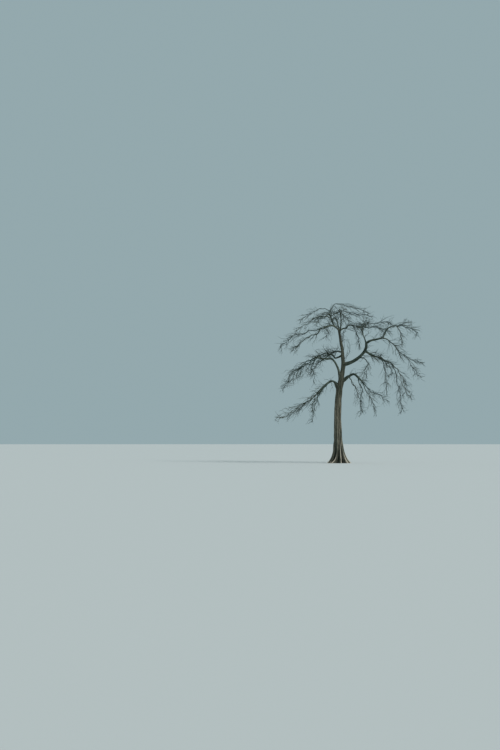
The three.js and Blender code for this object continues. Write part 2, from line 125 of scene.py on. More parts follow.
# The bark's wide grooves and the cracks between them: how many go round, how long and how wide
# they are, where the noise for them is cut from, their depth as a share of the radius, and how
# dark the painted shade in them is.
TRUNK_GROOVES = (9, 4.5, 0.10, 3.0)
GROOVE_DEPTH = 0.06
GROOVE_SHADE = 0.6
TRUNK_CRACKS = (34, 1.1, 0.16, 7.0)
CRACK_DEPTH = 0.02
CRACK_SHADE = 0.5


# Points at shares of the way along a smooth curve that passes through every stop. The stops
# may be one route or an array of routes.
def along_route(stops, shares):
    stops = np.asarray(stops, float)
    before_all = 2 * stops[..., :1, :] - stops[..., 1:2, :]
    after_all = 2 * stops[..., -1:, :] - stops[..., -2:-1, :]
    stops = np.concatenate([before_all, stops, after_all], axis=-2)
    place = np.asarray(shares, float) * (stops.shape[-2] - 3)
    below = np.minimum(place.astype(int), stops.shape[-2] - 4)
    part = (place - below)[:, None]
    before, start, end, after = (stops[..., below + i, :] for i in range(4))
    first, middle, last = (
        np.linalg.norm(b - a, axis=-1, keepdims=True) ** 0.5
        for a, b in ((before, start), (start, end), (end, after))
    )
    leaving = (start - before) / first - (end - before) / (first + middle) + (end - start) / middle
    arriving = (end - start) / middle - (after - start) / (middle + last) + (after - end) / last
    leaving, arriving = leaving * middle, arriving * middle
    bend = 3 * (end - start) - 2 * leaving - arriving
    ease = 2 * (start - end) + leaving + arriving
    return start + leaving * part + bend * part**2 + ease * part**3


def mix(a, b, share):
    return a + (b - a) * share


# The trunk's surface at a height and a compass direction: the round stem, the foot's
# swelling, the buttress roots, the ridges that run up from them, and the boughs' shoulders.
def trunk_surface(radius, height, direction):
    out = radius + FLARE_REACH * np.exp(-height / FLARE_RISE)
    foot = np.exp(-height / FOOT_RISE)
    for toward, reach, rise, width, _, bend in BUTTRESSES:
        turn = (direction - toward - bend * foot + 180) % 360 - 180
        ridge = np.exp(-np.abs(turn / width / mix(1, FOOT_WIDTH, foot)) ** mix(*ROOT_SHARPNESS, foot))
        out = out + ridge * (reach * np.exp(-height / rise) + FLUTE_DEPTH * np.exp(-height / FLUTE_RISE))
    for level, toward, swell in SHOULDERS:
        turn = (direction - toward + 180) % 360 - 180
        above = (height - level) / np.where(height > level, SHOULDER_ABOVE, SHOULDER_BELOW)
        out = out + swell * np.exp(-(above**2) - (turn / SHOULDER_WIDTH) ** 2)
    return out


# The channels between the roots, which carry painted shade, and the crests along their backs,
# which carry a painted highlight, each from 0 to 1, and how far the channels cut in.
def trunk_lines(height, direction):
    fade = 1 - np.clip((height - CHANNEL_TOP[0]) / (CHANNEL_TOP[1] - CHANNEL_TOP[0]), 0, 1)
    channel, crest = np.zeros(len(height)), np.zeros(len(height))
    backs = [toward + bend * np.exp(-height / FOOT_RISE) for toward, _, _, _, _, bend in BUTTRESSES]
    for number, (back, next_back) in enumerate(zip(backs, backs[1:] + [backs[0] + 360])):
        sway = CHANNEL_SWAY * np.sin(height * CHANNEL_WAVES + number * CHANNEL_PHASE)
        turn = (direction - (back + next_back) / 2 - sway + 180) % 360 - 180
        channel = np.maximum(channel, np.exp(-((turn / CHANNEL_WIDTH) ** 2)))
        turn = (direction - back + 180) % 360 - 180
        worn = np.clip(CREST_FADE * (1 - height / BUTTRESSES[number][4]), 0, 1)
        crest = np.maximum(crest, np.exp(-((turn / CREST_WIDTH) ** 2)) * worn)
    depth = channel * (CHANNEL_DEPTH * np.exp(-height / CHANNEL_RISE) + FLUTE_CHANNEL * fade)
    return channel * fade, crest, depth


def noise_at(x, y, z):
    return np.array([noise.noise(spot) for spot in np.stack([x, y, z], axis=1).tolist()])


# How deep the bark's grooves are, from 0 to 1, at an angle round a limb and a length along
# it: lines that wander along the grain where a stretched noise crosses nought.
def bark_grooves(angle, along, count, stretch, width, offset):
    reach = count / math.tau
    level = noise_at(reach * np.cos(angle) + offset, reach * np.sin(angle), along / stretch + offset)
    return np.exp(-((level / width) ** 2))


# A bmesh whose corners know, from 0 to 1, how deep in a groove they are, where shade is painted,
# and how strongly they carry the trunk's painted crest highlight and the boughs' paler root bark.
def bark_shell():
    shell = bmesh.new()
    shell.verts.layers.float.new("groove")
    shell.verts.layers.float.new("worn")
    return shell


# Rolls a grid into a closed tube in a bmesh. A corner's turn and share of the length run
# from 0 to 1, and surface(turn, share) gives its place, its groove, and its share of painted
# crest highlight and paler root bark.
def roll_tube(shell, sides, rows, surface):
    groove, worn = shell.verts.layers.float["groove"], shell.verts.layers.float["worn"]
    corners = bmesh.ops.create_grid(shell, x_segments=sides, y_segments=rows, size=0.5)["verts"]
    flat = np.array([corner.co for corner in corners])
    marks = (values.tolist() for values in surface(flat[:, 0] + 0.5, flat[:, 1] + 0.5))
    for corner, place, depth, highlight_and_root_share in zip(corners, *marks):
        corner.co = place
        corner[groove] = depth
        corner[worn] = highlight_and_root_share
    bmesh.ops.remove_doubles(shell, verts=corners, dist=SEAM_GAP)
    rims = [edge for edge in shell.edges if edge.is_boundary]
    bmesh.ops.holes_fill(shell, edges=rims, sides=0)


def trunk_place(turn, share):
    share = share**ROWS_TO_FOOT
    middle = along_route(TRUNK[:, :3], share)
    radius = np.interp(share * (len(TRUNK) - 1), range(len(TRUNK)), TRUNK[:, 3])
    angle = turn * math.tau
    height = middle[:, 2]
    wide = bark_grooves(angle, height, *TRUNK_GROOVES)
    cracks = bark_grooves(angle, height, *TRUNK_CRACKS)
    channel, crest, depth = trunk_lines(height, np.degrees(angle))
    knots = noise_at(KNOT_SPREAD * np.cos(angle), KNOT_SPREAD * np.sin(angle), height * KNOT_RISE)
    out = trunk_surface(radius, height, np.degrees(angle)) - depth + KNOT_DEPTH * knots
    out = out - radius * (GROOVE_DEPTH * wide + CRACK_DEPTH * cracks)
    place = middle + np.stack([np.cos(angle) * out, np.sin(angle) * out, np.zeros(len(out))], axis=1)
    return place, np.maximum(np.maximum(channel, GROOVE_SHADE * wide), CRACK_SHADE * cracks), crest


def new_piece(name, shell, material):
    mesh = bpy.data.meshes.new(name)
    shell.to_mesh(mesh)
    shell.free()
    mesh.shade_smooth()
    mesh.materials.append(material)
    piece = bpy.data.objects.new(name, mesh)
    bpy.context.scene.collection.objects.link(piece)
    return piece


# A value in a material's nodes. Arithmetic on it adds Math nodes, and node() any other.
class Shade:
    def __init__(self, tree, socket=None):
        self.tree = tree
        self.socket = socket

    def node(self, kind, settings, inputs, output=0):
        made = self.tree.nodes.new("ShaderNode" + kind)
        for name, value in settings.items():
            setattr(made, name, value)
        for name, value in inputs.items():
            if isinstance(value, Shade):
                self.tree.links.new(value.socket, made.inputs[name])
            else:
                made.inputs[name].default_value = value
        return Shade(self.tree, made.outputs[output] if made.outputs else None)

    def math(self, operation, first, second):
        return self.node("Math", {"operation": operation}, {0: first, 1: second})

    def __add__(self, other):
        return self.math("ADD", self, other)

    def __sub__(self, other):
        return self.math("SUBTRACT", self, other)

    def __rsub__(self, other):
        return self.math("SUBTRACT", other, self)

    def __mul__(self, other):
        return self.math("MULTIPLY", self, other)

    __radd__ = __add__
    __rmul__ = __mul__


def new_material(name):
    material = bpy.data.materials.new(name)
    material.use_nodes = True
    material.node_tree.nodes.clear()
    return material, Shade(material.node_tree)


def noise_shade(shade, place, scale, detail):
    return shade.node("TexNoise", {}, {"Vector": place, "Scale": scale, "Detail": detail})


# 0 below the low value, 1 above the high one, and smooth between them.
def between(shade, value, low, high):
    return shade.node("MapRange", {"interpolation_type": "SMOOTHSTEP"},
                      {"Value": value, "From Min": low, "From Max": high})


# Where a pattern shows, from 0 to 1: a noise's scale and detail, and the levels that it is cut at.
def pattern(shade, place, scale, detail, low, high):
    return between(shade, noise_shade(shade, place, scale, detail), low, high)


# Two colours mixed by a factor. For colours the node's sockets are 6 and 7, and 2 for the mix.
def blended(shade, factor, first, second):
    return shade.node("Mix", {"data_type": "RGBA"}, {0: factor, 6: first, 7: second}, output=2)


# Lays more colours over the first, in turn: where each shows, how strongly, and the colour.
def layered(shade, colour, layers):
    for mask, strength, over in layers:
        colour = blended(shade, mask * strength, colour, over)
    return colour


# Joins colour, roughness and a bump from a relief in metres to the material's surface.
def surfaced(shade, colour, roughness, relief):
    bump = shade.node("Bump", {}, {"Height": relief, "Distance": 1.0})
    inputs = {"Base Color": colour, "Roughness": roughness, "Normal": bump, "Specular IOR Level": SHEEN}
    skin = shade.node("BsdfPrincipled", {}, inputs)
    shade.node("OutputMaterial", {}, {"Surface": skin})


SHEEN = 0.3  # of dry wood and bark
TRUNK_GREY = (0.240, 0.228, 0.172, 1)
TRUNK_OLIVE = (0.054, 0.060, 0.038, 1)
TRUNK_PALE = (0.600, 0.530, 0.400, 1)
TRUNK_DARK = (0.042, 0.052, 0.036, 1)
# a painted highlight along the crests of the roots
PAINTED_CREST_HIGHLIGHT = (0.640, 0.570, 0.460, 1)
# painted shade in the grooves, channels and cracks of the trunk and the boughs
PAINTED_GROOVE_SHADE = (0.010, 0.010, 0.008, 1)
# The scale and detail of the noise that each is cut from, and the levels that it is cut at.
PATCHES = (3.2, 2, 0.46, 0.60)
STREAKS = (8.0, 3, 0.49, 0.60)
RIBS = (15.0, 4, 0.40, 0.60)
FISSURES = (42.0, 5, 0.40, 0.56)
FLECKS = (60.0, 3)
RIB_HEIGHT = 0.012  # metres that the ribs, fissures and flecks stand up or cut in
FISSURE_HEIGHT = 0.008
FLECK_HEIGHT = 0.004
GRAIN = (1, 1, 0.14)  # the ribs and fissures are drawn out up the trunk
STRINGS = (1, 1, 0.035)  # and the patches and streaks further still
DARK_BARK = (4.8, 9.0)  # the heights where its upper bark starts to darken, and is darkest
FOOT_DARKENING = (1.0, 3.4)  # and where the darker bark of its foot starts to pale, and ends
CREST_HIGHLIGHT_LEVELS = (0.15, 0.75)  # the least painted crest highlight that shows, and where it shows in full
TRUNK_ROUGHNESS = 0.82
GROOVE_ROUGHNESS = 0.12  # how much rougher the grooves are

trunk_bark, shade = new_material("trunk_bark")
place = shade.node("TexCoord", {}, {}, output="Object")
grain = shade.node("Mapping", {}, {"Vector": place, "Scale": GRAIN})
strings = shade.node("Mapping", {}, {"Vector": place, "Scale": STRINGS})
height = shade.node("SeparateXYZ", {}, {"Vector": place}, output="Z")
groove = shade.node("Attribute", {"attribute_name": "groove"}, {}, output="Fac")
worn = shade.node("Attribute", {"attribute_name": "worn"}, {}, output="Fac")
streaks = pattern(shade, strings, *STREAKS)
ribs = pattern(shade, grain, *RIBS)
fissures = pattern(shade, grain, *FISSURES)
colour = blended(shade, pattern(shade, strings, *PATCHES), TRUNK_GREY, TRUNK_OLIVE)
colour = layered(shade, colour, [
    (streaks, 0.8, TRUNK_PALE),
    # darker between the ribs, where their bump sinks: partly the bark's own tone, partly painted shade
    (1 - ribs, 0.35, TRUNK_DARK),
    (between(shade, height + streaks, *DARK_BARK), 0.8, TRUNK_DARK),
    (1 - between(shade, height, *FOOT_DARKENING), 0.8, TRUNK_DARK),
    # painted highlight along the roots' crests
    (between(shade, worn, *CREST_HIGHLIGHT_LEVELS), 0.95, PAINTED_CREST_HIGHLIGHT),
    # darker where the fissures' bump sinks: partly the bark's own tone, partly painted shade
    (1 - fissures, 0.4, TRUNK_DARK),
    # painted shade, almost black, in the grooves, channels and cracks
    (groove, 0.95, PAINTED_GROOVE_SHADE),
])
relief = ribs * RIB_HEIGHT + fissures * FISSURE_HEIGHT
relief = relief + noise_shade(shade, grain, *FLECKS) * FLECK_HEIGHT
surfaced(shade, colour, TRUNK_ROUGHNESS + groove * GROOVE_ROUGHNESS, relief)

shell = bark_shell()
roll_tube(shell, TRUNK_SIDES, TRUNK_ROWS, trunk_place)
trunk = new_piece("trunk_in_bark", shell, trunk_bark)
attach(trunk, "root")
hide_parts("trunk")


# The boughs are crooked limbs of the same wood in darker, greenish bark. Each grew out of the
# trunk or another bough, with a collar round its root, and winds to where its twigs take over.
BOUGHS = {  # what it grew from, its radius at its root and its tip, and the route of its middle
    "right_arm": ("trunk", 0.190, 0.125, [
        (0.47, 0, 9.83), (1.00, -0.12, 9.90), (1.56, -0.33, 10.12), (2.15, -0.60, 10.52),
        (2.60, -0.80, 11.00), (2.79, -0.88, 11.48), (2.80, -0.90, 11.90)]),
    "right_cross": ("right_arm", 0.112, 0.082, [
        (2.79, -0.89, 11.84), (3.20, -1.00, 12.06), (3.84, -1.15, 12.19), (4.42, -1.30, 12.32)]),
    "right_crook": ("right_cross", 0.076, 0.048, [
        (4.42, -1.30, 12.32), (4.64, -1.37, 12.80), (4.89, -1.45, 13.20), (5.34, -1.55, 13.43),
        (5.78, -1.62, 13.45)]),
    "right_outer": ("right_cross", 0.056, 0.034, [
        (4.34, -1.28, 12.29), (4.76, -1.15, 12.21), (5.22, -0.90, 11.88), (5.70, -0.65, 11.50),
        (6.06, -0.50, 10.96), (6.60, -0.35, 10.62)]),
    "right_riser": ("right_arm", 0.060, 0.040, [
        (2.78, -0.88, 11.80), (2.66, -0.96, 12.23), (2.44, -1.04, 12.80), (2.38, -1.10, 13.26),
        (2.60, -1.20, 13.62)]),
    "right_low": ("right_arm", 0.108, 0.078, [
        (2.64, -0.83, 11.08), (3.16, -0.56, 10.80), (3.73, -0.10, 10.57), (4.30, 0.40, 10.51)]),
    "right_low_outer": ("right_low", 0.070, 0.048, [
        (4.30, 0.40, 10.51), (4.74, 0.75, 10.18), (5.20, 1.05, 10.06), (5.48, 1.20, 9.85)]),
    "right_knee": ("trunk", 0.140, 0.092, [
        (0.32, -0.04, 8.08), (0.64, -0.14, 8.24), (1.09, -0.42, 8.60), (1.55, -0.76, 8.78),
        (2.01, -1.08, 8.40), (2.47, -1.35, 7.88)]),
    "left_arm": ("trunk", 0.125, 0.068, [
        (0.23, -0.02, 8.25), (0.05, -0.16, 9.24), (-0.13, -0.26, 9.70), (-0.37, -0.40, 10.11),
        (-0.70, -0.54, 10.37), (-1.23, -0.70, 10.32), (-1.74, -0.85, 10.37), (-2.10, -0.95, 10.43),
        (-2.40, -1.06, 10.32)]),
    "left_mid": ("trunk", 0.088, 0.052, [
        (0.44, 0.06, 10.74), (0.06, 0.26, 10.56), (-0.31, 0.47, 10.50), (-0.48, 0.60, 10.76),
        (-0.96, 0.85, 10.94), (-1.43, 1.05, 10.96), (-1.85, 1.23, 10.80)]),
    "left_top": ("trunk", 0.092, 0.056, [
        (0.11, 0, 13.25), (-0.12, -0.02, 13.48), (-0.46, -0.08, 13.68), (-0.90, -0.20, 13.66),
        (-1.33, -0.33, 13.48), (-1.84, -0.45, 13.36)]),
    "left_curl": ("left_top", 0.050, 0.036, [
        (-1.80, -0.445, 13.37), (-1.88, -0.52, 13.05), (-2.16, -0.68, 12.76), (-2.60, -0.85, 12.68),
        (-2.95, -1.00, 12.42)]),
    "top_riser": ("left_top", 0.072, 0.040, [
        (-0.26, -0.035, 13.60), (-0.48, 0.06, 13.96), (-0.64, 0.13, 14.45), (-0.79, 0.18, 14.95),
        (-0.70, 0.16, 15.40)]),
    "top_right": ("trunk", 0.076, 0.042, [
        (0.14, 0, 13.12), (0.50, 0.06, 13.40), (0.86, 0.18, 13.48), (1.08, 0.32, 13.76),
        (1.56, 0.50, 13.76), (2.08, 0.66, 13.64), (2.65, 0.85, 13.66)]),
    "front_top": ("trunk", 0.074, 0.044, [
        (0.19, 0, 12.90), (0.26, -0.40, 13.30), (0.33, -0.90, 14.05), (0.26, -1.60, 14.70),
        (0.16, -2.35, 14.88)]),
    "back_top": ("trunk", 0.076, 0.044, [
        (0.24, 0, 12.55), (0.18, 0.45, 13.15), (-0.02, 1.05, 14.05), (-0.25, 1.75, 14.65),
        (-0.40, 2.50, 14.78)]),
    "mid_back": ("trunk", 0.084, 0.046, [
        (0.45, 0.02, 11.02), (0.22, 0.52, 11.12), (-0.20, 1.20, 11.23), (-0.62, 1.95, 11.15),
        (-1.00, 2.60, 10.88)]),
    "mid_front": ("right_arm", 0.070, 0.042, [
        (1.56, -0.33, 10.12), (1.78, -0.82, 10.20), (2.15, -1.50, 10.33), (2.48, -2.15, 10.26),
        (2.75, -2.70, 10.00)]),
    "low_back": ("trunk", 0.096, 0.056, [
        (0.24, 0.02, 7.90), (0.48, 0.42, 8.25), (0.80, 1.05, 8.62), (1.06, 1.75, 8.76),
        (1.25, 2.45, 8.48)]),
    "low_front": ("trunk", 0.082, 0.046, [
        (0.12, -0.04, 7.30), (-0.12, -0.46, 7.75), (-0.43, -1.05, 8.06), (-0.78, -1.70, 8.02),
        (-1.06, -2.30, 7.68)]),
    "left_low": ("trunk", 0.112, 0.072, [
        (0.06, 0, 7.20), (-0.18, -0.06, 7.62), (-0.38, -0.16, 8.06), (-0.70, -0.32, 8.13),
        (-1.23, -0.58, 7.78), (-1.60, -0.74, 7.42), (-2.05, -0.90, 6.96)]),
    "left_low_back": ("trunk", 0.088, 0.050, [
        (0.10, 0.04, 7.52), (-0.16, 0.48, 7.98), (-0.56, 1.08, 8.18), (-1.05, 1.65, 7.98),
        (-1.50, 2.15, 7.56)]),
}
CARRY_ON = {"right_crook": "right_cross", "right_low_outer": "right_low", "left_top": "trunk"}
KEEPS_THICKNESS = {"right_arm"}  # it forks at its tip
BOUGH_PIECES = {  # the boughs that are joined into each piece
    "boughs_right": ["right_arm", "right_cross", "right_crook", "right_outer", "right_riser",
                     "right_low", "right_low_outer", "mid_front"],
    "boughs_top": ["left_top", "left_curl", "top_riser", "top_right", "front_top", "back_top"],
    "boughs_left": ["left_arm", "left_mid", "mid_back", "left_low", "left_low_back"],
    "boughs_low": ["right_knee", "low_back", "low_front"],
}
ROUTE_SAMPLES = 200  # by which a route's length is measured
TRUNK_STOPS = 14  # points that the growing rule sees the trunk by
GROUND_SWELL = 0.5  # the swelling of the foot that it sees
LIMB_STEP = 0.52  # length of the straight pieces that it sees a limb in
LEAST_PIECES = 3  # and the fewest of them
COLLAR_SWELL = 0.45
COLLAR_LENGTH = 0.26
ROOT_SHARE = 0.92  # thickest root of a limb, as a share of its parent's radius there
ROOT_EASE = 0.6  # how fast the limb may thicken on its way out
BOUGH_SIDES = 36
BOUGH_STEP = 0.028  # between the rings of a limb's bark
CROTCH_SWELL = 0.30  # the bark's extra fold where a bough leaves its parent
CROTCH_LENGTH = 0.12
ROOT_BARK_LENGTH = 0.30  # over which the trunk's paler bark runs out along a bough
CROTCH_START = 0.8  # thickest root of the bark on a limb, as a share of the limb's own there
CROTCH_EASE = 0.24  # how fast the bark may thicken on its way out
KNUCKLE_SWELL = 0.22  # the extra thickness where a limb carries on at an angle
STEM_RADIUS = 0.048  # the thickest stem that a mass of twigs starts with
TAPER_LENGTH = 0.7  # over which a bough thins to what grows on from its tip
TIP_LENGTH = 0.9  # of a bough's rounded end, as a share of its radius there
TIP_END = 0.96  # how far it is rounded before it is closed flat
KNOB = 0.07  # how far swellings stand out along a bough, as a share of its radius
KNOB_WAVES = 2.3  # about how many there are to a metre
# The grooves and cracks in a bough's bark: how many go round it, how long and how wide they
# are, how much deeper than the trunk's, and how dark the painted shade in the cracks is.
BOUGH_GROOVES = (7, 0.55, 0.15)
GROOVES_DEEPER = 1.3
BOUGH_CRACKS = (20, 0.16, 0.2)
CRACKS_DEEPER = 1.8
BOUGH_CRACK_SHADE = 0.55
# Its noise is cut where its tip's radius and its name's length say, so that no two are alike.
NAME_SHIFT = 1.7
TIP_SHIFT = 90
GROOVE_SHIFT = 97
CRACK_SHIFT = 61
UPRIGHT = 0.9  # a line that goes up or down by more than this share of its way is upright


# A route in equal steps, and its length.
def spaced(route, steps):
    shares = np.linspace(0, 1, ROUTE_SAMPLES + 1)
    chords = np.linalg.norm(np.diff(along_route(route, shares), axis=0), axis=1)
    lengths = np.concatenate([[0], np.cumsum(chords)])
    even = np.interp(np.linspace(0, lengths[-1], steps + 1), lengths, shares)
    return along_route(route, even), lengths[-1]


# Points along the trunk's middle, and its radius at each.
def trunk_stops(count):
    places = np.linspace(0, len(TRUNK) - 1, count)
    middle = along_route(TRUNK[:, :3], np.linspace(0, 1, count))
    return middle, np.interp(places, range(len(TRUNK)), TRUNK[:, 3])


# How far points are from a tapering line, and the line's radius at the nearest place.
def nearest(points, line, radii):
    start, piece = line[:-1], np.diff(line, axis=0)
    part = ((points[:, None] - start) * piece).sum(axis=2) / (piece**2).sum(axis=1)
    part = np.clip(part, 0, 1)
    gaps = np.linalg.norm(points[:, None] - start - piece * part[..., None], axis=2)
    best = gaps.argmin(axis=1)
    rows = np.arange(len(points))
    there = part[rows, best]
    return gaps[rows, best], radii[best] * (1 - there) + radii[best + 1] * there


# Two directions across a line at each of its points, turned on from point to point without
# twisting. The points may be one line or an array of lines.
def frames_along(points):
    way = np.gradient(points, axis=-2)
    way /= np.linalg.norm(way, axis=-1, keepdims=True)
    steep = np.abs(way[..., 0, 2:]) > UPRIGHT
    across = np.cross(way[..., 0, :], np.where(steep, (1.0, 0.0, 0.0), (0.0, 0.0, 1.0)))
    turned = []
    for i in range(points.shape[-2]):
        along = way[..., i, :]
        across = across - along * (across * along).sum(axis=-1, keepdims=True)
        across = across / np.linalg.norm(across, axis=-1, keepdims=True)
        turned.append(across)
    across = np.stack(turned, axis=-2)
    return across, np.cross(way, across)


# A limb's radii: it thins from its root to its tip, with a collar at the root, where it is
# no thicker than the room that its parent has for it.
def bough_radii(name, length, shares, room):
    _, root, tip, _ = BOUGHS[name]
    swell = 0 if name in CARRY_ON else COLLAR_SWELL
    along = shares * length
    radii = (root + (tip - root) * shares) * (1 + swell * np.exp(-along / COLLAR_LENGTH))
    return np.minimum(radii, room + along * ROOT_EASE)


# The bark's surface on a bough: the limb's own taper, a fold at its crotch, swellings and
# grooves, thinned at its end to what grows on from there, and rounded off.
def bough_surface(name, points, length, room):
    parent, root, tip, _ = BOUGHS[name]
    rows = len(points) - 1
    shares = np.linspace(0, 1, rows + 1)
    along = shares * length
    gap, girth = nearest(points, *lines[parent])
    radii = bough_radii(name, length, shares, room)
    if name in CARRY_ON:
        radii = radii * (1 + KNUCKLE_SWELL * np.exp(-along / CROTCH_LENGTH))
    else:
        fold = CROTCH_SWELL * max(0, 1 - root / girth[0])
        radii = radii * (1 + fold * np.exp(-np.maximum(gap - girth, 0) / CROTCH_LENGTH))
        radii = np.minimum(radii, room * CROTCH_START + along * CROTCH_EASE)
    after = tip if name in KEEPS_THICKNESS else min(tip, STEM_RADIUS)
    for other, carrier in CARRY_ON.items():
        if carrier == name:
            after = BOUGHS[other][1]
    thinning = np.clip(1 - (length - along) / TAPER_LENGTH, 0, 1)
    radii = radii - (tip - after) * thinning**2 * (3 - 2 * thinning)
    shifts = (np.full(rows + 1, shift) for shift in (len(name) * NAME_SHIFT, tip * TIP_SHIFT))
    radii = radii * (1 + KNOB * noise_at(along * KNOB_WAVES, *shifts))
    rounding = np.clip(1 - (length - along) / (TIP_LENGTH * after), 0, TIP_END)
    radii = radii * np.sqrt(1 - rounding**2)
    rooted = np.exp(-np.maximum(gap - girth, 0) / ROOT_BARK_LENGTH) * (parent == "trunk")
    across, beside = frames_along(points)

    def surface(turn, share):
        row = np.round(share * rows).astype(int)
        angle = turn * math.tau
        reach = share * length
        wide = bark_grooves(angle, reach, *BOUGH_GROOVES, tip * GROOVE_SHIFT + len(name))
        cracks = bark_grooves(angle, reach, *BOUGH_CRACKS, tip * CRACK_SHIFT)
        cut = GROOVE_DEPTH * GROOVES_DEEPER * wide
        out = radii[row] * (1 - cut - CRACK_DEPTH * CRACKS_DEEPER * cracks)
        place = points[row] + across[row] * (np.cos(angle) * out)[:, None]
        place = place + beside[row] * (np.sin(angle) * out)[:, None]
        return place, np.maximum(wide, BOUGH_CRACK_SHADE * cracks), rooted[row]

    return surface


BOUGH_GREY = (0.082, 0.108, 0.082, 1)
BOUGH_GREEN = (0.028, 0.055, 0.042, 1)
BOUGH_PALE = (0.170, 0.190, 0.130, 1)
BOUGH_ROOT = (0.098, 0.106, 0.078, 1)
BOUGH_PATCHES = (2.4, 3, 0.4, 0.6)
LICHEN = (9.0, 5, 0.56, 0.66)
BOUGH_FLECKS = (70.0, 4)
BOUGH_ROUGHNESS = 0.84
BOUGH_GROOVE_ROUGHNESS = 0.1

bough_bark, shade = new_material("bough_bark")
place = shade.node("TexCoord", {}, {}, output="Object")
groove = shade.node("Attribute", {"attribute_name": "groove"}, {}, output="Fac")
rooted = shade.node("Attribute", {"attribute_name": "worn"}, {}, output="Fac")
colour = blended(shade, pattern(shade, place, *BOUGH_PATCHES), BOUGH_GREY, BOUGH_GREEN)
colour = layered(shade, colour, [
    (pattern(shade, place, *LICHEN), 0.6, BOUGH_PALE),
    (rooted, 0.85, BOUGH_ROOT),
    # painted shade in the bough's grooves and cracks
    (groove, 0.8, PAINTED_GROOVE_SHADE),
])
relief = noise_shade(shade, place, *BOUGH_FLECKS) * FLECK_HEIGHT
surfaced(shade, colour, BOUGH_ROUGHNESS + groove * BOUGH_GROOVE_ROUGHNESS, relief)

middle, radii = trunk_stops(TRUNK_STOPS)
radii = radii + GROUND_SWELL * np.exp(-middle[:, 2] / FLARE_RISE)
lines = {"trunk": (middle, radii)}  # each limb as the growing rule sees it
smooth_lines = {}  # the smooth middle of each limb's bark, its length and the room at its root

for name, (parent, _, _, route) in BOUGHS.items():
    room = ROOT_SHARE * nearest(np.array([route[0]], float), *lines[parent])[1][0]
    length = spaced(route, 1)[1]
    steps = max(LEAST_PIECES, math.floor(length / LIMB_STEP + 0.5))
    radii = bough_radii(name, length, np.linspace(0, 1, steps + 1), room)
    lines[name] = (spaced(route, steps)[0], radii)
    smooth_lines[name] = (spaced(route, round(length / BOUGH_STEP))[0], length, room)

for piece_name, names in BOUGH_PIECES.items():
    shell = bark_shell()
    for name in names:
        points, length, room = smooth_lines[name]
        if name in CARRY_ON:  # its first ring is sunk two steps into the limb that it goes on from
            points = points.copy()
            points[0] -= (points[1] - points[0]) * 2
        roll_tube(shell, BOUGH_SIDES, len(points) - 1, bough_surface(name, points, length, room))
    piece = new_piece(piece_name, shell, bough_bark)
    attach(piece, "root")
    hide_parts(*[f"bough_{name}" for name in names])


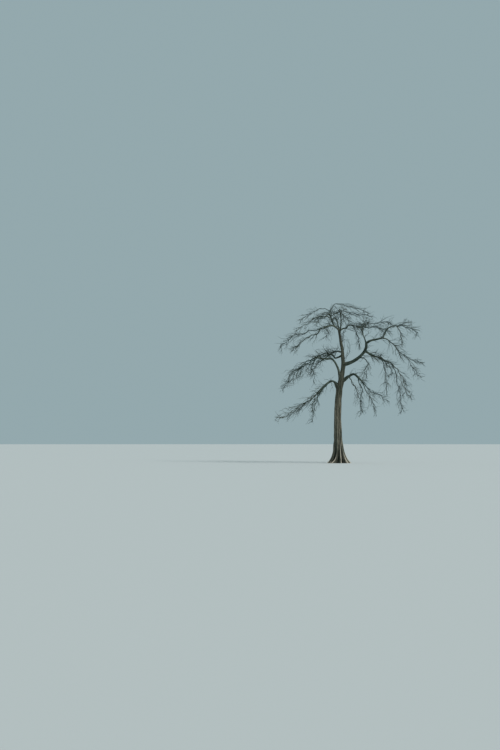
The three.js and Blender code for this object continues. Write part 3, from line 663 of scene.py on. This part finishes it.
# The twigs are dry bare wood, grown out of the boughs' ends and sides in masses. Each mass
# grows on one stem that arches out and falls: its twigs set off in turns, wander and droop,
# and carry finer twigs in the same way. A spray of them is one dark greenish grey or brown.
MASSES = [  # name, bough, share of the bough's length, tip, fall there, spread, main twigs
    ("right_top", "right_crook", 1, (7.80, -2.15, 12.70), 40, 0.80, 11),
    ("right_top_high", "right_crook", 0.86, (7.35, -1.10, 13.80), 15, 0.52, 8),
    ("right_crook_drop", "right_crook", 0.95, (6.25, -1.95, 11.40), 80, 0.52, 7),
    ("right_point", "right_outer", 1, (8.56, -0.30, 9.90), 8, 0.48, 8),
    ("right_fall", "right_outer", 0.93, (8.32, 0.30, 8.40), 30, 0.60, 9),
    ("crown_right", "right_riser", 0.97, (5.60, -0.50, 13.55), 20, 0.76, 9),
    ("low_right_main", "right_low_outer", 1, (7.40, 1.90, 6.35), 45, 0.85, 10),
    ("low_right_drop", "right_low_outer", 0.9, (6.15, 0.90, 4.85), 85, 0.72, 11),
    ("low_right_inner", "right_low", 0.93, (4.80, 0.70, 6.70), 80, 0.64, 9),
    ("low_right_back", "right_low", 0.8, (5.50, 4.10, 8.90), 60, 0.85, 10),
    ("knee_main", "right_knee", 1, (4.95, -2.90, 5.95), 25, 0.75, 10),
    ("knee_outer", "right_knee", 0.83, (3.75, -1.30, 4.55), 75, 0.68, 8),
    ("knee_drop", "right_knee", 0.7, (2.25, -1.45, 4.70), 88, 0.62, 9),
    ("left_mid_main", "left_arm", 1, (-5.65, -2.20, 7.30), 38, 0.80, 11),
    ("left_mid_front", "left_arm", 0.9, (-3.90, -3.60, 8.30), 50, 0.80, 10),
    ("left_mid_drop", "left_arm", 0.96, (-2.35, -0.70, 7.85), 85, 0.42, 6),
    ("left_mid_back", "left_mid", 1, (-5.40, 2.60, 7.80), 42, 0.85, 10),
    ("left_top_outer", "left_top", 1, (-5.80, -0.90, 11.25), 48, 0.80, 11),
    ("left_curl_drop", "left_curl", 1, (-4.50, -2.10, 10.95), 50, 0.64, 9),
    ("top", "top_riser", 1, (3.15, 0.40, 15.00), 22, 0.62, 11),
    ("top_left", "top_riser", 0.9, (-3.85, 0.20, 14.25), 42, 0.70, 10),
    ("top_back", "top_riser", 0.72, (-2.30, 2.70, 14.50), 25, 0.78, 10),
    ("top_inner_left", "top_riser", 0.5, (-4.30, -1.50, 13.00), 35, 0.70, 10),
    ("top_inner_right", "top_riser", 0.6, (3.50, -0.90, 14.45), 10, 0.62, 10),
    ("top_right", "top_right", 1, (5.30, 2.30, 13.00), 45, 0.70, 9),
    ("top_right_back", "top_right", 0.7, (3.30, 3.30, 14.35), 20, 0.76, 10),
    ("top_right_drop", "top_right", 0.55, (2.25, 1.00, 11.30), 75, 0.48, 7),
    ("front_top", "front_top", 1, (1.00, -5.60, 13.15), 50, 0.85, 11),
    ("front_top_left", "front_top", 0.88, (-2.30, -4.40, 13.45), 40, 0.78, 9),
    ("back_top", "back_top", 1, (-1.30, 5.60, 13.05), 50, 0.85, 10),
    ("mid_back", "mid_back", 1, (-3.00, 5.00, 9.00), 60, 0.85, 10),
    ("mid_front", "mid_front", 1, (2.30, -5.10, 7.90), 60, 0.80, 10),
    ("low_back", "low_back", 1, (2.50, 4.70, 5.10), 72, 0.80, 9),
    ("low_front", "low_front", 1, (-2.40, -4.10, 4.70), 75, 0.70, 9),
    ("left_low_main", "left_low", 1, (-6.30, -1.70, 4.55), 8, 0.74, 11),
    ("left_low_drop", "left_low", 0.93, (-2.60, -1.50, 3.95), 85, 0.56, 8),
    ("left_low_back", "left_low_back", 1, (-4.30, 4.00, 5.20), 50, 0.85, 10),
]
TWIG_PIECES = {  # the masses that are joined into each piece
    "twigs_crown": ["top", "top_left", "top_back", "top_inner_left", "top_inner_right"],
    "twigs_top_right_side": ["top_right", "top_right_back", "top_right_drop", "crown_right"],
    "twigs_right_side": ["right_top", "right_top_high", "right_crook_drop", "right_point", "right_fall"],
    "twigs_right_hanging": ["low_right_main", "low_right_drop", "low_right_inner", "low_right_back"],
    "twigs_right_low": ["knee_main", "knee_outer", "knee_drop", "low_back"],
    "twigs_left_top_side": ["left_top_outer", "left_curl_drop", "front_top_left"],
    "twigs_left_side": ["left_mid_main", "left_mid_front", "left_mid_drop", "left_mid_back"],
    "twigs_left_low": ["left_low_main", "left_low_drop", "left_low_back", "low_front"],
    "twigs_front_and_back": ["front_top", "back_top", "mid_back", "mid_front"],
}
STEM_STEPS = 5
STEM_LEAN = 0.55  # how far it sets off towards its tip, where 0 is the way of its bough
STEM_PULLS = (0.36, 0.34)  # how far its curve is pulled from its root and tip, as shares of its span
STEM_SWAY = 0.05  # how far it winds from side to side, as a share of its span
STEM_THICKNESS = 0.8  # radius at its root on a bough's side, as a share of the bough's there
STEM_TIP_RADIUS = 0.008
STEM_TAPER = 0.8  # below 1, it thins faster near its root
MAIN_TWIG_SHARES = (0.14, 0.96)  # of the stem's length, where its first and last main twigs stand
MAIN_TWIG_STRAY = 0.7  # how far each strays on, as a share of the way to the next
STEM_LEFT_SHARE = 0.42  # its length is this share of what is left of the stem,
SPREAD_SHARE = 0.7  # and this share of the mass's spread,
MAIN_TWIG_LENGTHS = (0.85, 1.15)  # times a draw between these
MAIN_TWIG_REACH = (0.5, 0.85)  # how far aside it sets off to reach, as a share of the spread
MOST_ASIDE = 0.85  # sine of the widest angle at which it leaves
SIDE_TWIG_SHARES = (0.3, 0.55)  # of a main twig's length, where its side twig stands
SIDE_TWIG_TURN = 6.28  # all the way round
SIDE_TWIG_ANGLES = (0.5, 0.9)
SIDE_TWIG_LENGTH = 0.55  # as a share of its main twig's
TWIG_STEPS = 2
TWIG_THICKNESS = 0.5  # a twig's radius at its root, as a share of its parent's there
DROOP = 0.14  # how much a twig bends down at each step
WANDER = 0.38  # how much it changes its way at each step
NEAR_UPRIGHT = 0.2  # sine of the angle within which a parent counts as upright
TWIG_CLEARANCE = 0.012  # least air between a twig and a limb or another mass
SPACE = 1.1  # how far past its spread a mass's space ends
PARALLEL = 1e-15  # two lines closer to parallel than this are taken as parallel
GOLDEN_ANGLE = 2.39996  # turns each twig on from the one before it
UP = np.array([0.0, 0.0, 1.0])
PRIME = 2147483647  # the seeds and the numbers that follow from them run below this
NUMBER_STEP = 48271
SKIPPED = 2  # the first numbers, which are too alike from seed to seed
PARENT_STEP = 7919
INDEX_STEP = 104729
FIRST_SEED = 12345
STEM_SEED = 1
TWIG_SEED = 2
FINE_SEED = 3
SHOOT_SEED = 4


# A stream of repeatable numbers from 0 to 1.
def seeded(seed):
    state = seed % (PRIME - 1) + 1
    count = 0
    while True:
        state = state * NUMBER_STEP % PRIME
        count += 1
        if count > SKIPPED:
            yield state / PRIME


def seed_of(parent_seed, index):
    return (parent_seed * PARENT_STEP + index * INDEX_STEP + FIRST_SEED) % PRIME


def unit(vectors):
    return vectors / np.linalg.norm(vectors, axis=-1, keepdims=True)


# The point, direction and radius at a share of the length of each line in an array.
def on_lines(points, radii, shares):
    place = shares * (points.shape[1] - 1)
    below = np.minimum(place.astype(int), points.shape[1] - 2)
    part = place - below
    rows = np.arange(len(points))
    start, end = points[rows, below], points[rows, below + 1]
    girth = mix(radii[rows, below], radii[rows, below + 1], part)
    return mix(start, end, part[:, None]), unit(end - start), girth


# The stem of a mass: it leaves its bough, arches over and falls to its tip, winding a little.
def stem_line(bough, at, tip, fall, draws):
    points, radii = lines[bough]
    [root], [way], [girth] = on_lines(points[None], radii[None], np.array([float(at)]))
    tip = np.array(tip)
    span = np.linalg.norm(tip - root)
    out = unit((tip - root) * (1, 1, 0))
    end = out * math.cos(math.radians(fall)) - UP * math.sin(math.radians(fall))
    lead = unit(mix(way, unit(tip - root), 0 if at == 1 else STEM_LEAN))
    pulls = [root, root + lead * span * STEM_PULLS[0], tip - end * span * STEM_PULLS[1], tip]
    share = np.linspace(0, 1, STEM_STEPS + 1)[:, None]
    weights = ((1 - share) ** 3, 3 * share * (1 - share) ** 2, 3 * share**2 * (1 - share), share**3)
    line = sum(weight * pull for weight, pull in zip(weights, pulls))
    along = np.gradient(line, axis=0)
    for i in range(1, STEM_STEPS):
        sway, lift = (span * STEM_SWAY * (next(draws) * 2 - 1) for _ in range(2))
        if i > 1:
            line[i] += unit(np.cross(along[i], UP)) * sway + UP * lift
    root_radius = min(girth * (1 if at == 1 else STEM_THICKNESS), STEM_RADIUS)
    return line, mix(root_radius, STEM_TIP_RADIUS, share[:, 0] ** STEM_TAPER)


# Twigs: each sets off from its root at an angle to its parent's way, wanders by its draws,
# bends down under its weight, and may turn back to run along its parent's way.
def twig_lines(root, way, turn, angle, length, draws, wander=WANDER, follow=0):
    along = way
    turn, angle, length = turn[:, None], angle[:, None], length[:, None]
    side = np.cross(way, UP)
    upright = np.linalg.norm(side, axis=1, keepdims=True) < NEAR_UPRIGHT
    level = np.concatenate([np.cos(turn), np.sin(turn), turn * 0], axis=1)
    side = unit(np.where(upright, level, side))
    above = np.cross(side, way)
    way = way * np.cos(angle) + (side * np.cos(turn) + above * np.sin(turn)) * np.sin(angle)
    steps = draws.shape[1]
    points = [root]
    for i in range(steps):
        bend = (draws[:, i] - 0.5) * wander + along * follow - UP * DROOP * min(1, TWIG_STEPS / steps)
        way = unit(way + bend)
        points.append(points[-1] + way * length / steps)
    return np.stack(points, axis=1)


# The least distances between the piece of line a-b and each of the pieces c-d.
def gaps_between(a, b, c, d):
    first, second, apart = b - a, d - c, a - c
    aa, bb, ab = first @ first, (second**2).sum(axis=1), second @ first
    ac, bc = apart @ first, (apart * second).sum(axis=1)
    flat = aa * bb - ab * ab
    near = np.clip((ab * bc - ac * bb) / np.maximum(flat, PARALLEL), 0, 1)
    there = np.clip((ab * np.where(flat > PARALLEL, near, 0) + bc) / bb, 0, 1)
    here = np.clip((ab * there - ac) / aa, 0, 1)
    return np.linalg.norm(apart + first * here[:, None] - second * there[:, None], axis=1)


# The straight pieces of lines as one table: where each starts and ends, and its radius.
def pieces_of(some_lines):
    rows = [np.column_stack([line[:-1], line[1:], radii[:-1]]) for line, radii in some_lines]
    return np.concatenate(rows) if rows else np.zeros((0, 7))


def touches(line, radii, pieces, air):
    if not len(pieces):
        return False
    return any(
        (gaps_between(a, b, pieces[:, :3], pieces[:, 3:6]) < radius + pieces[:, 6] + air).any()
        for a, b, radius in zip(line[:-1], line[1:], radii[:-1])
    )


stems = [stem_line(bough, at, tip, fall, seeded(seed_of(STEM_SEED, index)))
         for index, (_, bough, at, tip, fall, _, _) in enumerate(MASSES)]
grown = [[stem] for stem in stems]  # every stem and coarse twig so far, by mass


# A twig is kept where it stays in its mass's space, and clear of the limbs, of the other
# masses and of the twigs beside it. Its first piece is sunk into its parent.
def fits(line, radii, parent, index):
    _, bough, _, _, _, spread, _ = MASSES[index]
    if (nearest(line, *stems[index])[0] > spread * SPACE).any():
        return False
    if touches(line, radii, limb_pieces[bough], TWIG_CLEARANCE):
        return False
    if touches(line[1:], radii[1:], pieces_of([lines[bough]]), TWIG_CLEARANCE):
        return False
    beside = [(other[1:], girth[1:]) for other, girth in grown[index] if other is not parent]
    return not (touches(line, radii, other_pieces, TWIG_CLEARANCE)
                or touches(line[1:], radii[1:], pieces_of(beside), 0))


limb_pieces = {bough: pieces_of(line for name, line in lines.items() if name != bough)
               for bough in lines}
main_twigs = []  # for each mass, (line, radii, share of the stem) of its main twigs
side_twigs = []  # and (line, radii, share, number of the main twig) of their side twigs
for index, (_, _, _, _, _, spread, twigs) in enumerate(MASSES):
    stem, stem_radii = stems[index]
    reach = np.linalg.norm(stem[-1] - stem[0])
    other_pieces = pieces_of(line for number, group in enumerate(grown) if number != index
                             for line in group)
    mains, sides = [], []
    for i in range(twigs):
        twig_seed = seed_of(seed_of(TWIG_SEED, index), i)
        draws = seeded(twig_seed)
        share = mix(*MAIN_TWIG_SHARES, (i + MAIN_TWIG_STRAY * next(draws)) / twigs)
        length = reach * (1 - share) * STEM_LEFT_SHARE + spread * SPREAD_SHARE
        length = length * mix(*MAIN_TWIG_LENGTHS, next(draws))
        aside = spread * mix(*MAIN_TWIG_REACH, next(draws)) / length
        angle = math.asin(min(MOST_ASIDE, aside))
        turn = i * GOLDEN_ANGLE + next(draws)
        root, way, girth = on_lines(stem[None], stem_radii[None], np.array([share]))
        wander = np.array([[[next(draws) for _ in range(3)] for _ in range(TWIG_STEPS)]])
        [line] = twig_lines(root, way, np.array([turn]), np.array([angle]), np.array([length]), wander)
        radii = girth * TWIG_THICKNESS * (1 - np.linspace(0, 1, TWIG_STEPS + 1))
        if not fits(line, radii, stem, index):
            continue
        grown[index].append((line, radii))
        mains.append((line, radii, share))
        draws = seeded(seed_of(twig_seed, 0))
        side_share = mix(*SIDE_TWIG_SHARES, next(draws))
        turn, angle = next(draws) * SIDE_TWIG_TURN, mix(*SIDE_TWIG_ANGLES, next(draws))
        root, way, girth = on_lines(line[None], radii[None], np.array([side_share]))
        wander = np.array([[[next(draws) for _ in range(3)]]])
        [side] = twig_lines(root, way, np.array([turn]), np.array([angle]),
                            np.array([length * SIDE_TWIG_LENGTH]), wander)
        side_radii = girth * TWIG_THICKNESS * (1 - np.linspace(0, 1, 2))
        if fits(side, side_radii, line, index):
            grown[index].append((side, side_radii))
            sides.append((side, side_radii, side_share, len(mains) - 1))
    main_twigs.append(mains)
    side_twigs.append(sides)

# From here on the twigs are made finer than the rule's: crooked, and with more orders of them.
STEM_RINGS = 44
STEM_KNOTS = 12  # where a stem changes its way a little
MAIN_RINGS = 12
MAIN_KNOTS = 6
SIDE_RINGS = 6
SIDE_KNOTS = 3
SIDE_STOPS = 3  # its root, its middle and its tip
CROOK = 0.17  # how far the knots stand off the smooth line, as a share of the way between them
BOX_MARGIN = 0.025  # least room between a crooked line and the side of the CAD model's box
KNOT_MARGIN = 3 * BOX_MARGIN  # and between its knots and the box's side
LEAST_STEM = 0.019  # least radius of a stem, and of main and side twigs at their roots
LEAST_MAIN = 0.018
LEAST_SIDE = 0.014
TAPER = 0.65  # below 1, a twig keeps its thickness before it ends
REACH_PAST = 0.30  # how far a fine twig may reach past its mass's space
SHOOT_REACH = 1.25  # of the shoots that stand along the boughs
SHOOT_FREE = 3  # the first steps of a shoot that may still lie in its limb
SPACE_STRIDE = 8  # their space is measured from every 8th point of their limb
STEM_GROWTH = 2.2  # how thick the twigs stand on a stem, where 1 is as on its main twigs
CURL = 0.35  # share of a fine twig's wandering that lasts along it
FINE_SHARES = (0.06, 0.99)  # of a parent's length, where its first and last fine twigs stand
FINE_STRAY = 0.9  # how far each strays on, as a share of the way to the next
TWIGGY_SHARE = 0.85  # of a parent's length, by which its fine twigs are counted
FINE_LENGTHS = (0.7, 1.3)  # a fine twig's length is drawn between these shares of its rule's
LEAST_ROOM = 0.5  # that it has to grow in, as a share of its order's least length
ROOM_SHARE = 1.3  # how far it may set off to reach, as a share of the room
# The shoots and each finer order of twigs: their spacing along a parent, their length as a
# share of what is left of the parent, the least and the most length, the least and the most
# radius at the root, the angles at which they leave, their steps, how much they wander, and
# how much they turn back to their parent's way at each step.
SHOOTS = (0.30, 0.90, (1.00, 2.40), (0.0160, 0.0240), (0.50, 1.10), 12, 0.55, 0.08)
FINE_TWIGS = [
    (0.620, 0.60, (0.80, 2.20), (0.0160, 0.0260), (0.45, 1.00), 12, 0.60, 0.08),
    (0.440, 0.55, (0.25, 0.80), (0.0045, 0.0075), (0.50, 1.00), 6, 0.60, 0.08),
    (0.240, 0.50, (0.08, 0.22), (0.0022, 0.0032), (0.60, 1.20), 2, 0.70, 0.00),
]
GROWTH = {  # how thick the twigs stand on some masses, where 1 is as on the others
    "top": 0.7, "top_left": 0.2, "top_back": 0.3, "top_inner_left": 0.5, "top_inner_right": 1.1,
    "top_right": 1.2, "front_top_left": 0.7, "crown_right": 1.1, "right_top": 0.7,
    "right_top_high": 0.4, "right_fall": 0.8, "right_point": 0.8, "left_top_outer": 0.8,
    "left_curl_drop": 0.6, "left_mid_main": 0.8, "left_mid_drop": 0.6, "left_mid_back": 0.7,
    "left_low_main": 1.8, "left_low_drop": 0.1, "left_low_back": 0.4, "low_front": 0.2,
    "knee_drop": 0.1, "knee_outer": 0.3, "low_back": 0.2, "low_right_back": 0.6, "mid_front": 0.7,
}
SHOOT_GROWTH = {  # how thick the shoots stand on each limb, and what share of it is bare
    "trunk": (2.2, 0.64), "right_arm": (1.6, 0.30), "right_cross": (2.8, 0.25),
    "right_crook": (1.4, 0.30), "right_outer": (2.6, 0.05), "right_riser": (3.0, 0.20),
    "right_low": (4.4, 0.05), "right_low_outer": (2.0, 0.05), "right_knee": (2.2, 0.50),
    "left_arm": (2.6, 0.45), "left_mid": (4.6, 0.20), "left_top": (2.6, 0.15),
    "left_curl": (2.2, 0.05), "top_riser": (4.2, 0.10), "top_right": (4.8, 0.10),
    "front_top": (2.2, 0.15), "back_top": (2.2, 0.15), "mid_back": (3.2, 0.15),
    "mid_front": (0.8, 0.35), "low_back": (0.5, 0.40), "low_front": (0.5, 0.40),
    "left_low": (4.0, 0.60), "left_low_back": (0.6, 0.40),
}
STEM_SIDES = 9
MAIN_SIDES = 5
TWIG_SIDES = 3
TRUNK_POINTS = 200  # by which the trunk is found among the limbs

# The middle of every limb and its radius at each point, and a tree to find the nearest point by.
limb_lines = {}
for name, (points, length, room) in smooth_lines.items():
    radii = bough_radii(name, length, np.linspace(0, 1, len(points)), room)
    limb_lines[name] = (points, radii)
limb_lines["trunk"] = trunk_stops(TRUNK_POINTS)
limb_tree = kdtree.KDTree(sum(len(points) for points, _ in limb_lines.values()))
limb_girths = []
for points, radii in limb_lines.values():
    for point, radius in zip(points, radii):
        limb_tree.insert(point, len(limb_girths))
        limb_girths.append(radius)
limb_tree.balance()


def clear_of_limbs(points):
    found = (limb_tree.find(point) for point in points.tolist())
    return np.array([gap > limb_girths[number] + TWIG_CLEARANCE for _, number, gap in found], bool)


# Lines through a few stops each, made smooth, with a little crook at each knot, and kept in
# the CAD model's box.
def crooked(stops, knots, rings, rng):
    points = along_route(stops, np.linspace(0, 1, knots + 1))
    step = np.linalg.norm(np.diff(points, axis=1), axis=2).mean(axis=1)[:, None, None]
    points[:, 1:-1] += rng.normal(0, CROOK, points[:, 1:-1].shape) * step
    points = np.clip(points, cad_box[0] + KNOT_MARGIN, cad_box[1] - KNOT_MARGIN)
    points = along_route(points, np.linspace(0, 1, rings + 1))
    return np.clip(points, cad_box[0] + BOX_MARGIN, cad_box[1] - BOX_MARGIN)


# The radii along twigs that thin to a point from their radii at the root.
def tapered(root_radii, rings):
    return np.array(root_radii)[:, None] * (1 - np.linspace(0, 1, rings + 1)) ** TAPER


# Finer twigs all along their parents, by the same rule as the coarse ones, as long as the
# space round the middle line lets them be.
def fine_twigs(points, radii, sprays, kind, middle, space, rng, growth):
    spacing, share_left, span, thickness, angles, steps, wander, follow = kind
    lengths = np.linalg.norm(np.diff(points, axis=1), axis=2).sum(axis=1)
    counts = np.maximum(1, np.round(lengths * TWIGGY_SHARE / spacing * growth)).astype(int)
    owner = np.repeat(np.arange(len(counts)), counts)
    number = np.arange(len(owner)) - np.repeat(np.cumsum(counts) - counts, counts)
    share = mix(*FINE_SHARES, (number + rng.uniform(0, FINE_STRAY, len(owner))) / counts[owner])
    length = np.clip(lengths[owner] * (1 - share) * share_left, *span)
    length = length * rng.uniform(*FINE_LENGTHS, len(owner))
    root, way, girth = on_lines(points[owner], radii[owner], share)
    turn = number * GOLDEN_ANGLE + rng.uniform(0, 1, len(owner))
    angle = rng.uniform(*angles, len(owner))
    room = np.maximum(space - nearest(root, *middle)[0], span[0] * LEAST_ROOM)
    length = np.minimum(length, room * ROOM_SHARE / np.sin(angle))
    draws = mix(rng.random((len(owner), steps, 3)), rng.random((len(owner), 1, 3)), CURL)
    line = twig_lines(root, way, turn, angle, length, draws, wander, follow)
    return line, tapered(np.clip(girth * TWIG_THICKNESS, *thickness), steps), sprays[owner]


# The twigs that stay in the space, in the box and clear of the limbs, but for their first steps.
def kept(twigs, middle, space, low, high, first=1):
    points, radii, sprays = twigs
    flat = points[:, first:].reshape(-1, 3)
    inside = nearest(flat, *middle)[0] < space
    inside &= ((flat > low) & (flat < high)).all(axis=1)
    inside[inside] = clear_of_limbs(flat[inside])
    good = inside.reshape(len(points), -1).all(axis=1)
    return points[good], radii[good], sprays[good]


# The finer orders of twigs. The first grows on the parents, each thicker or thinner by its
# growth, the second on the first and on the parents again, and the third on the second.
def finer_orders(parents, growths, middle, space, low, high, rng):
    groups = []
    for kind in FINE_TWIGS:
        fine = []
        for parent, growth in zip(parents, growths):
            twigs = fine_twigs(*parent, kind, middle, space, rng, growth)
            fine.append(kept(twigs, middle, space, low, high))
        order = tuple(np.concatenate(columns) for columns in zip(*fine))
        groups.append((*order, TWIG_SIDES))
        parents = [order] + (parents if kind is FINE_TWIGS[0] else [])
        growths = [1.0] * len(parents)
    return groups


# Closed tubes round many lines at once, with rings of corners, a point at each tip and a cap
# at each root: the corners' places and the triangles between them.
def tubes(points, radii, sides):
    count, rings = len(points), points.shape[1] - 1
    across, beside = frames_along(points)
    angle = np.arange(sides)[:, None] * math.tau / sides
    circle = across[:, :-1, None] * np.cos(angle) + beside[:, :-1, None] * np.sin(angle)
    corners = points[:, :-1, None] + circle * radii[:, :-1, None, None]
    corners = np.concatenate([corners.reshape(count, -1, 3), points[:, -1:]], axis=1)
    side = np.arange(sides)
    after = (side + 1) % sides
    triangles = [(0, i + 1, i) for i in range(1, sides - 1)]
    for ring in range(rings - 1):
        low, high = ring * sides, (ring + 1) * sides
        triangles += [(low + a, low + b, high + b) for a, b in zip(side, after)]
        triangles += [(low + a, high + b, high + a) for a, b in zip(side, after)]
    last = (rings - 1) * sides
    triangles += [(last + a, last + b, rings * sides) for a, b in zip(side, after)]
    starts = np.arange(count)[:, None, None] * corners.shape[1]
    return corners.reshape(-1, 3), (np.array(triangles) + starts).reshape(-1, 3), len(triangles)


TWIG_SHADES = [
    (0.012, 0.026, 0.019, 1), (0.024, 0.038, 0.025, 1), (0.042, 0.050, 0.030, 1),
    (0.016, 0.036, 0.029, 1),
]
TWIG_ROUGHNESS = 0.85

twig_materials = []
for number, colour in enumerate(TWIG_SHADES):
    material, shade = new_material(f"twigs_{number + 1}")
    inputs = {"Base Color": colour, "Roughness": TWIG_ROUGHNESS, "Specular IOR Level": SHEEN}
    skin = shade.node("BsdfPrincipled", {}, inputs)
    shade.node("OutputMaterial", {}, {"Surface": skin})
    twig_materials.append(material)


# Tubes round groups of twigs, each spray in one of the shades.
def shaded_tubes(groups, spray_count, rng):
    shade_of = rng.integers(0, len(TWIG_SHADES), spray_count)
    return [(*tubes(points, radii, sides), shade_of[sprays])
            for points, radii, sprays, sides in groups]


# Tubes round all the twigs of one mass: its stem, its main and side twigs, and finer ones.
def mass_tubes(index):
    name, bough, at, _, _, spread, _ = MASSES[index]
    rng = np.random.default_rng(seed_of(FINE_SEED, index))
    stem, stem_radii = stems[index]
    low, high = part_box(f"twigs_{name}")
    low = np.maximum(np.array(low) - REACH_PAST, cad_box[0])
    high = np.minimum(np.array(high) + REACH_PAST, cad_box[1])
    smooth = crooked(stem[None], STEM_KNOTS, STEM_RINGS, rng)
    bough_points = smooth_lines[bough][0]
    place = round(at * (len(bough_points) - 1))
    smooth[0, 0] = bough_points[place - 2] if at == 1 else bough_points[place]  # its sunk root
    places = np.linspace(0, STEM_STEPS, STEM_RINGS + 1)
    girths = np.maximum(np.interp(places, range(STEM_STEPS + 1), stem_radii), LEAST_STEM)[None]
    groups = [(smooth, girths, np.array([0]), STEM_SIDES)]

    mains = main_twigs[index]
    shares = np.array([share for _, _, share in mains])
    stops = np.array([line for line, _, _ in mains])
    owners = np.zeros(len(mains), int)
    stops[:, 0] = on_lines(smooth[owners], girths[owners], shares)[0]
    main_points = crooked(stops, MAIN_KNOTS, MAIN_RINGS, rng)
    main_radii = tapered([max(radii[0], LEAST_MAIN) for _, radii, _ in mains], MAIN_RINGS)
    main_sprays = np.arange(len(mains)) + 1
    groups.append((main_points, main_radii, main_sprays, MAIN_SIDES))

    sides = side_twigs[index]
    if sides:
        owners = np.array([number for _, _, _, number in sides])
        shares = np.array([share for _, _, share, _ in sides])
        stops = np.array([np.linspace(line[0], line[1], SIDE_STOPS) for line, _, _, _ in sides])
        stops[:, 0] = on_lines(main_points[owners], main_radii[owners], shares)[0]
        points = crooked(stops, SIDE_KNOTS, SIDE_RINGS, rng)
        radii = tapered([max(radii[0], LEAST_SIDE) for _, radii, _, _ in sides], SIDE_RINGS)
        groups.append((points, radii, main_sprays[owners], TWIG_SIDES))

    parents = [group[:3] for group in groups]
    growth = GROWTH.get(name, 1.0)
    growths = [growth * STEM_GROWTH, growth, growth]
    space = spread * SPACE + REACH_PAST
    groups += finer_orders(parents, growths, (stem, stem_radii), space, low, high, rng)
    return shaded_tubes(groups, len(mains) + 1, rng)


# Tubes round the shoots that stand along a limb, past its bare part, and their finer twigs.
def shoot_tubes(limb, rng):
    points, radii = limb_lines[limb]
    growth, bare = SHOOT_GROWTH[limb]
    start = round(len(points) * bare)
    middle = (points[start::SPACE_STRIDE], radii[start::SPACE_STRIDE])
    parent = (points[None, start:], radii[None, start:], np.array([0]))
    shoots = fine_twigs(*parent, SHOOTS, middle, SHOOT_REACH, rng, growth)
    points, radii, _ = kept(shoots, middle, SHOOT_REACH, *cad_box, first=SHOOT_FREE)
    shoots = (points, radii, np.arange(len(points)))
    groups = [(*shoots, TWIG_SIDES)]
    groups += finer_orders([shoots], [1.0], middle, SHOOT_REACH, *cad_box, rng)
    return shaded_tubes(groups, len(points), rng)


mass_names = [mass[0] for mass in MASSES]
with_shoots = set()
for piece_name, names in TWIG_PIECES.items():
    groups = []
    for name in names:
        index = mass_names.index(name)
        groups += mass_tubes(index)
        bough = MASSES[index][1]
        for carrier in (bough, BOUGHS[bough][0]):
            if carrier not in with_shoots:
                with_shoots.add(carrier)
                rng = np.random.default_rng(seed_of(SHOOT_SEED, len(with_shoots)))
                groups += shoot_tubes(carrier, rng)
    starts = np.cumsum([0] + [len(places) for places, _, _, _ in groups])
    corners = np.concatenate([places for places, _, _, _ in groups])
    triangles = np.concatenate([faces + start for (_, faces, _, _), start in zip(groups, starts)])
    shades = np.concatenate([shade_of.repeat(per_twig) for _, _, per_twig, shade_of in groups])
    mesh = bpy.data.meshes.new(piece_name)
    mesh.from_pydata(corners, [], triangles, shade_flat=False)
    for material in twig_materials:
        mesh.materials.append(material)
    mesh.polygons.foreach_set("material_index", shades.astype(np.int32))
    piece = bpy.data.objects.new(piece_name, mesh)
    bpy.context.scene.collection.objects.link(piece)
    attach(piece, "root")
    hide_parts(*[f"twigs_{name}" for name in names])


# The studio: a plain pale floor that runs out to the horizon under a plain pale backdrop, a
# wide soft light from the right and above, and the camera that the tree is seen from.
FLOOR_REACH = 1500.0
FLOOR_SIDES = 96
FLOOR_ROUGHNESS = 0.9
FLOOR_COLOUR = (0.50, 0.52, 0.51, 1)
BACKDROP_COLOUR = (0.295, 0.395, 0.42, 1)
BACKDROP_LIGHT = 1.0
LIGHT_STRENGTH = 2.9
LIGHT_TURN = (math.radians(50), 0, math.radians(54))  # it shines down from the front right
LIGHT_WIDTH = math.radians(25)
CAMERA_PLACE = (0.0, -104.0, 2.0)
CAMERA_PITCH = math.radians(3.73)
CAMERA_YAW = math.radians(4.84)
CAMERA_LENS = 50.0
CAMERA_SIGHT = 2000.0  # how far it sees

floor_material, shade = new_material("studio_floor")
skin = shade.node("BsdfPrincipled", {}, {"Base Color": FLOOR_COLOUR, "Roughness": FLOOR_ROUGHNESS})
shade.node("OutputMaterial", {}, {"Surface": skin})
floor_shell = bmesh.new()
bmesh.ops.create_circle(floor_shell, cap_ends=True, segments=FLOOR_SIDES, radius=FLOOR_REACH)
floor = new_piece("studio_floor", floor_shell, floor_material)

bpy.context.scene.view_settings.view_transform = "Standard"
backdrop = bpy.data.worlds.new("backdrop")
backdrop.use_nodes = True
backdrop.node_tree.nodes["Background"].inputs["Color"].default_value = BACKDROP_COLOUR
backdrop.node_tree.nodes["Background"].inputs["Strength"].default_value = BACKDROP_LIGHT
bpy.context.scene.world = backdrop

light = bpy.data.objects.new("soft_light", bpy.data.lights.new("soft_light", "SUN"))
light.data.energy = LIGHT_STRENGTH
light.data.angle = LIGHT_WIDTH
light.rotation_euler = LIGHT_TURN
bpy.context.scene.collection.objects.link(light)

camera = bpy.data.objects.new("camera", bpy.data.cameras.new("camera"))
camera.data.lens = CAMERA_LENS
camera.data.clip_end = CAMERA_SIGHT
camera.location = CAMERA_PLACE
camera.rotation_euler = (math.radians(90) + CAMERA_PITCH, 0, CAMERA_YAW)
bpy.context.scene.collection.objects.link(camera)
bpy.context.scene.camera = camera
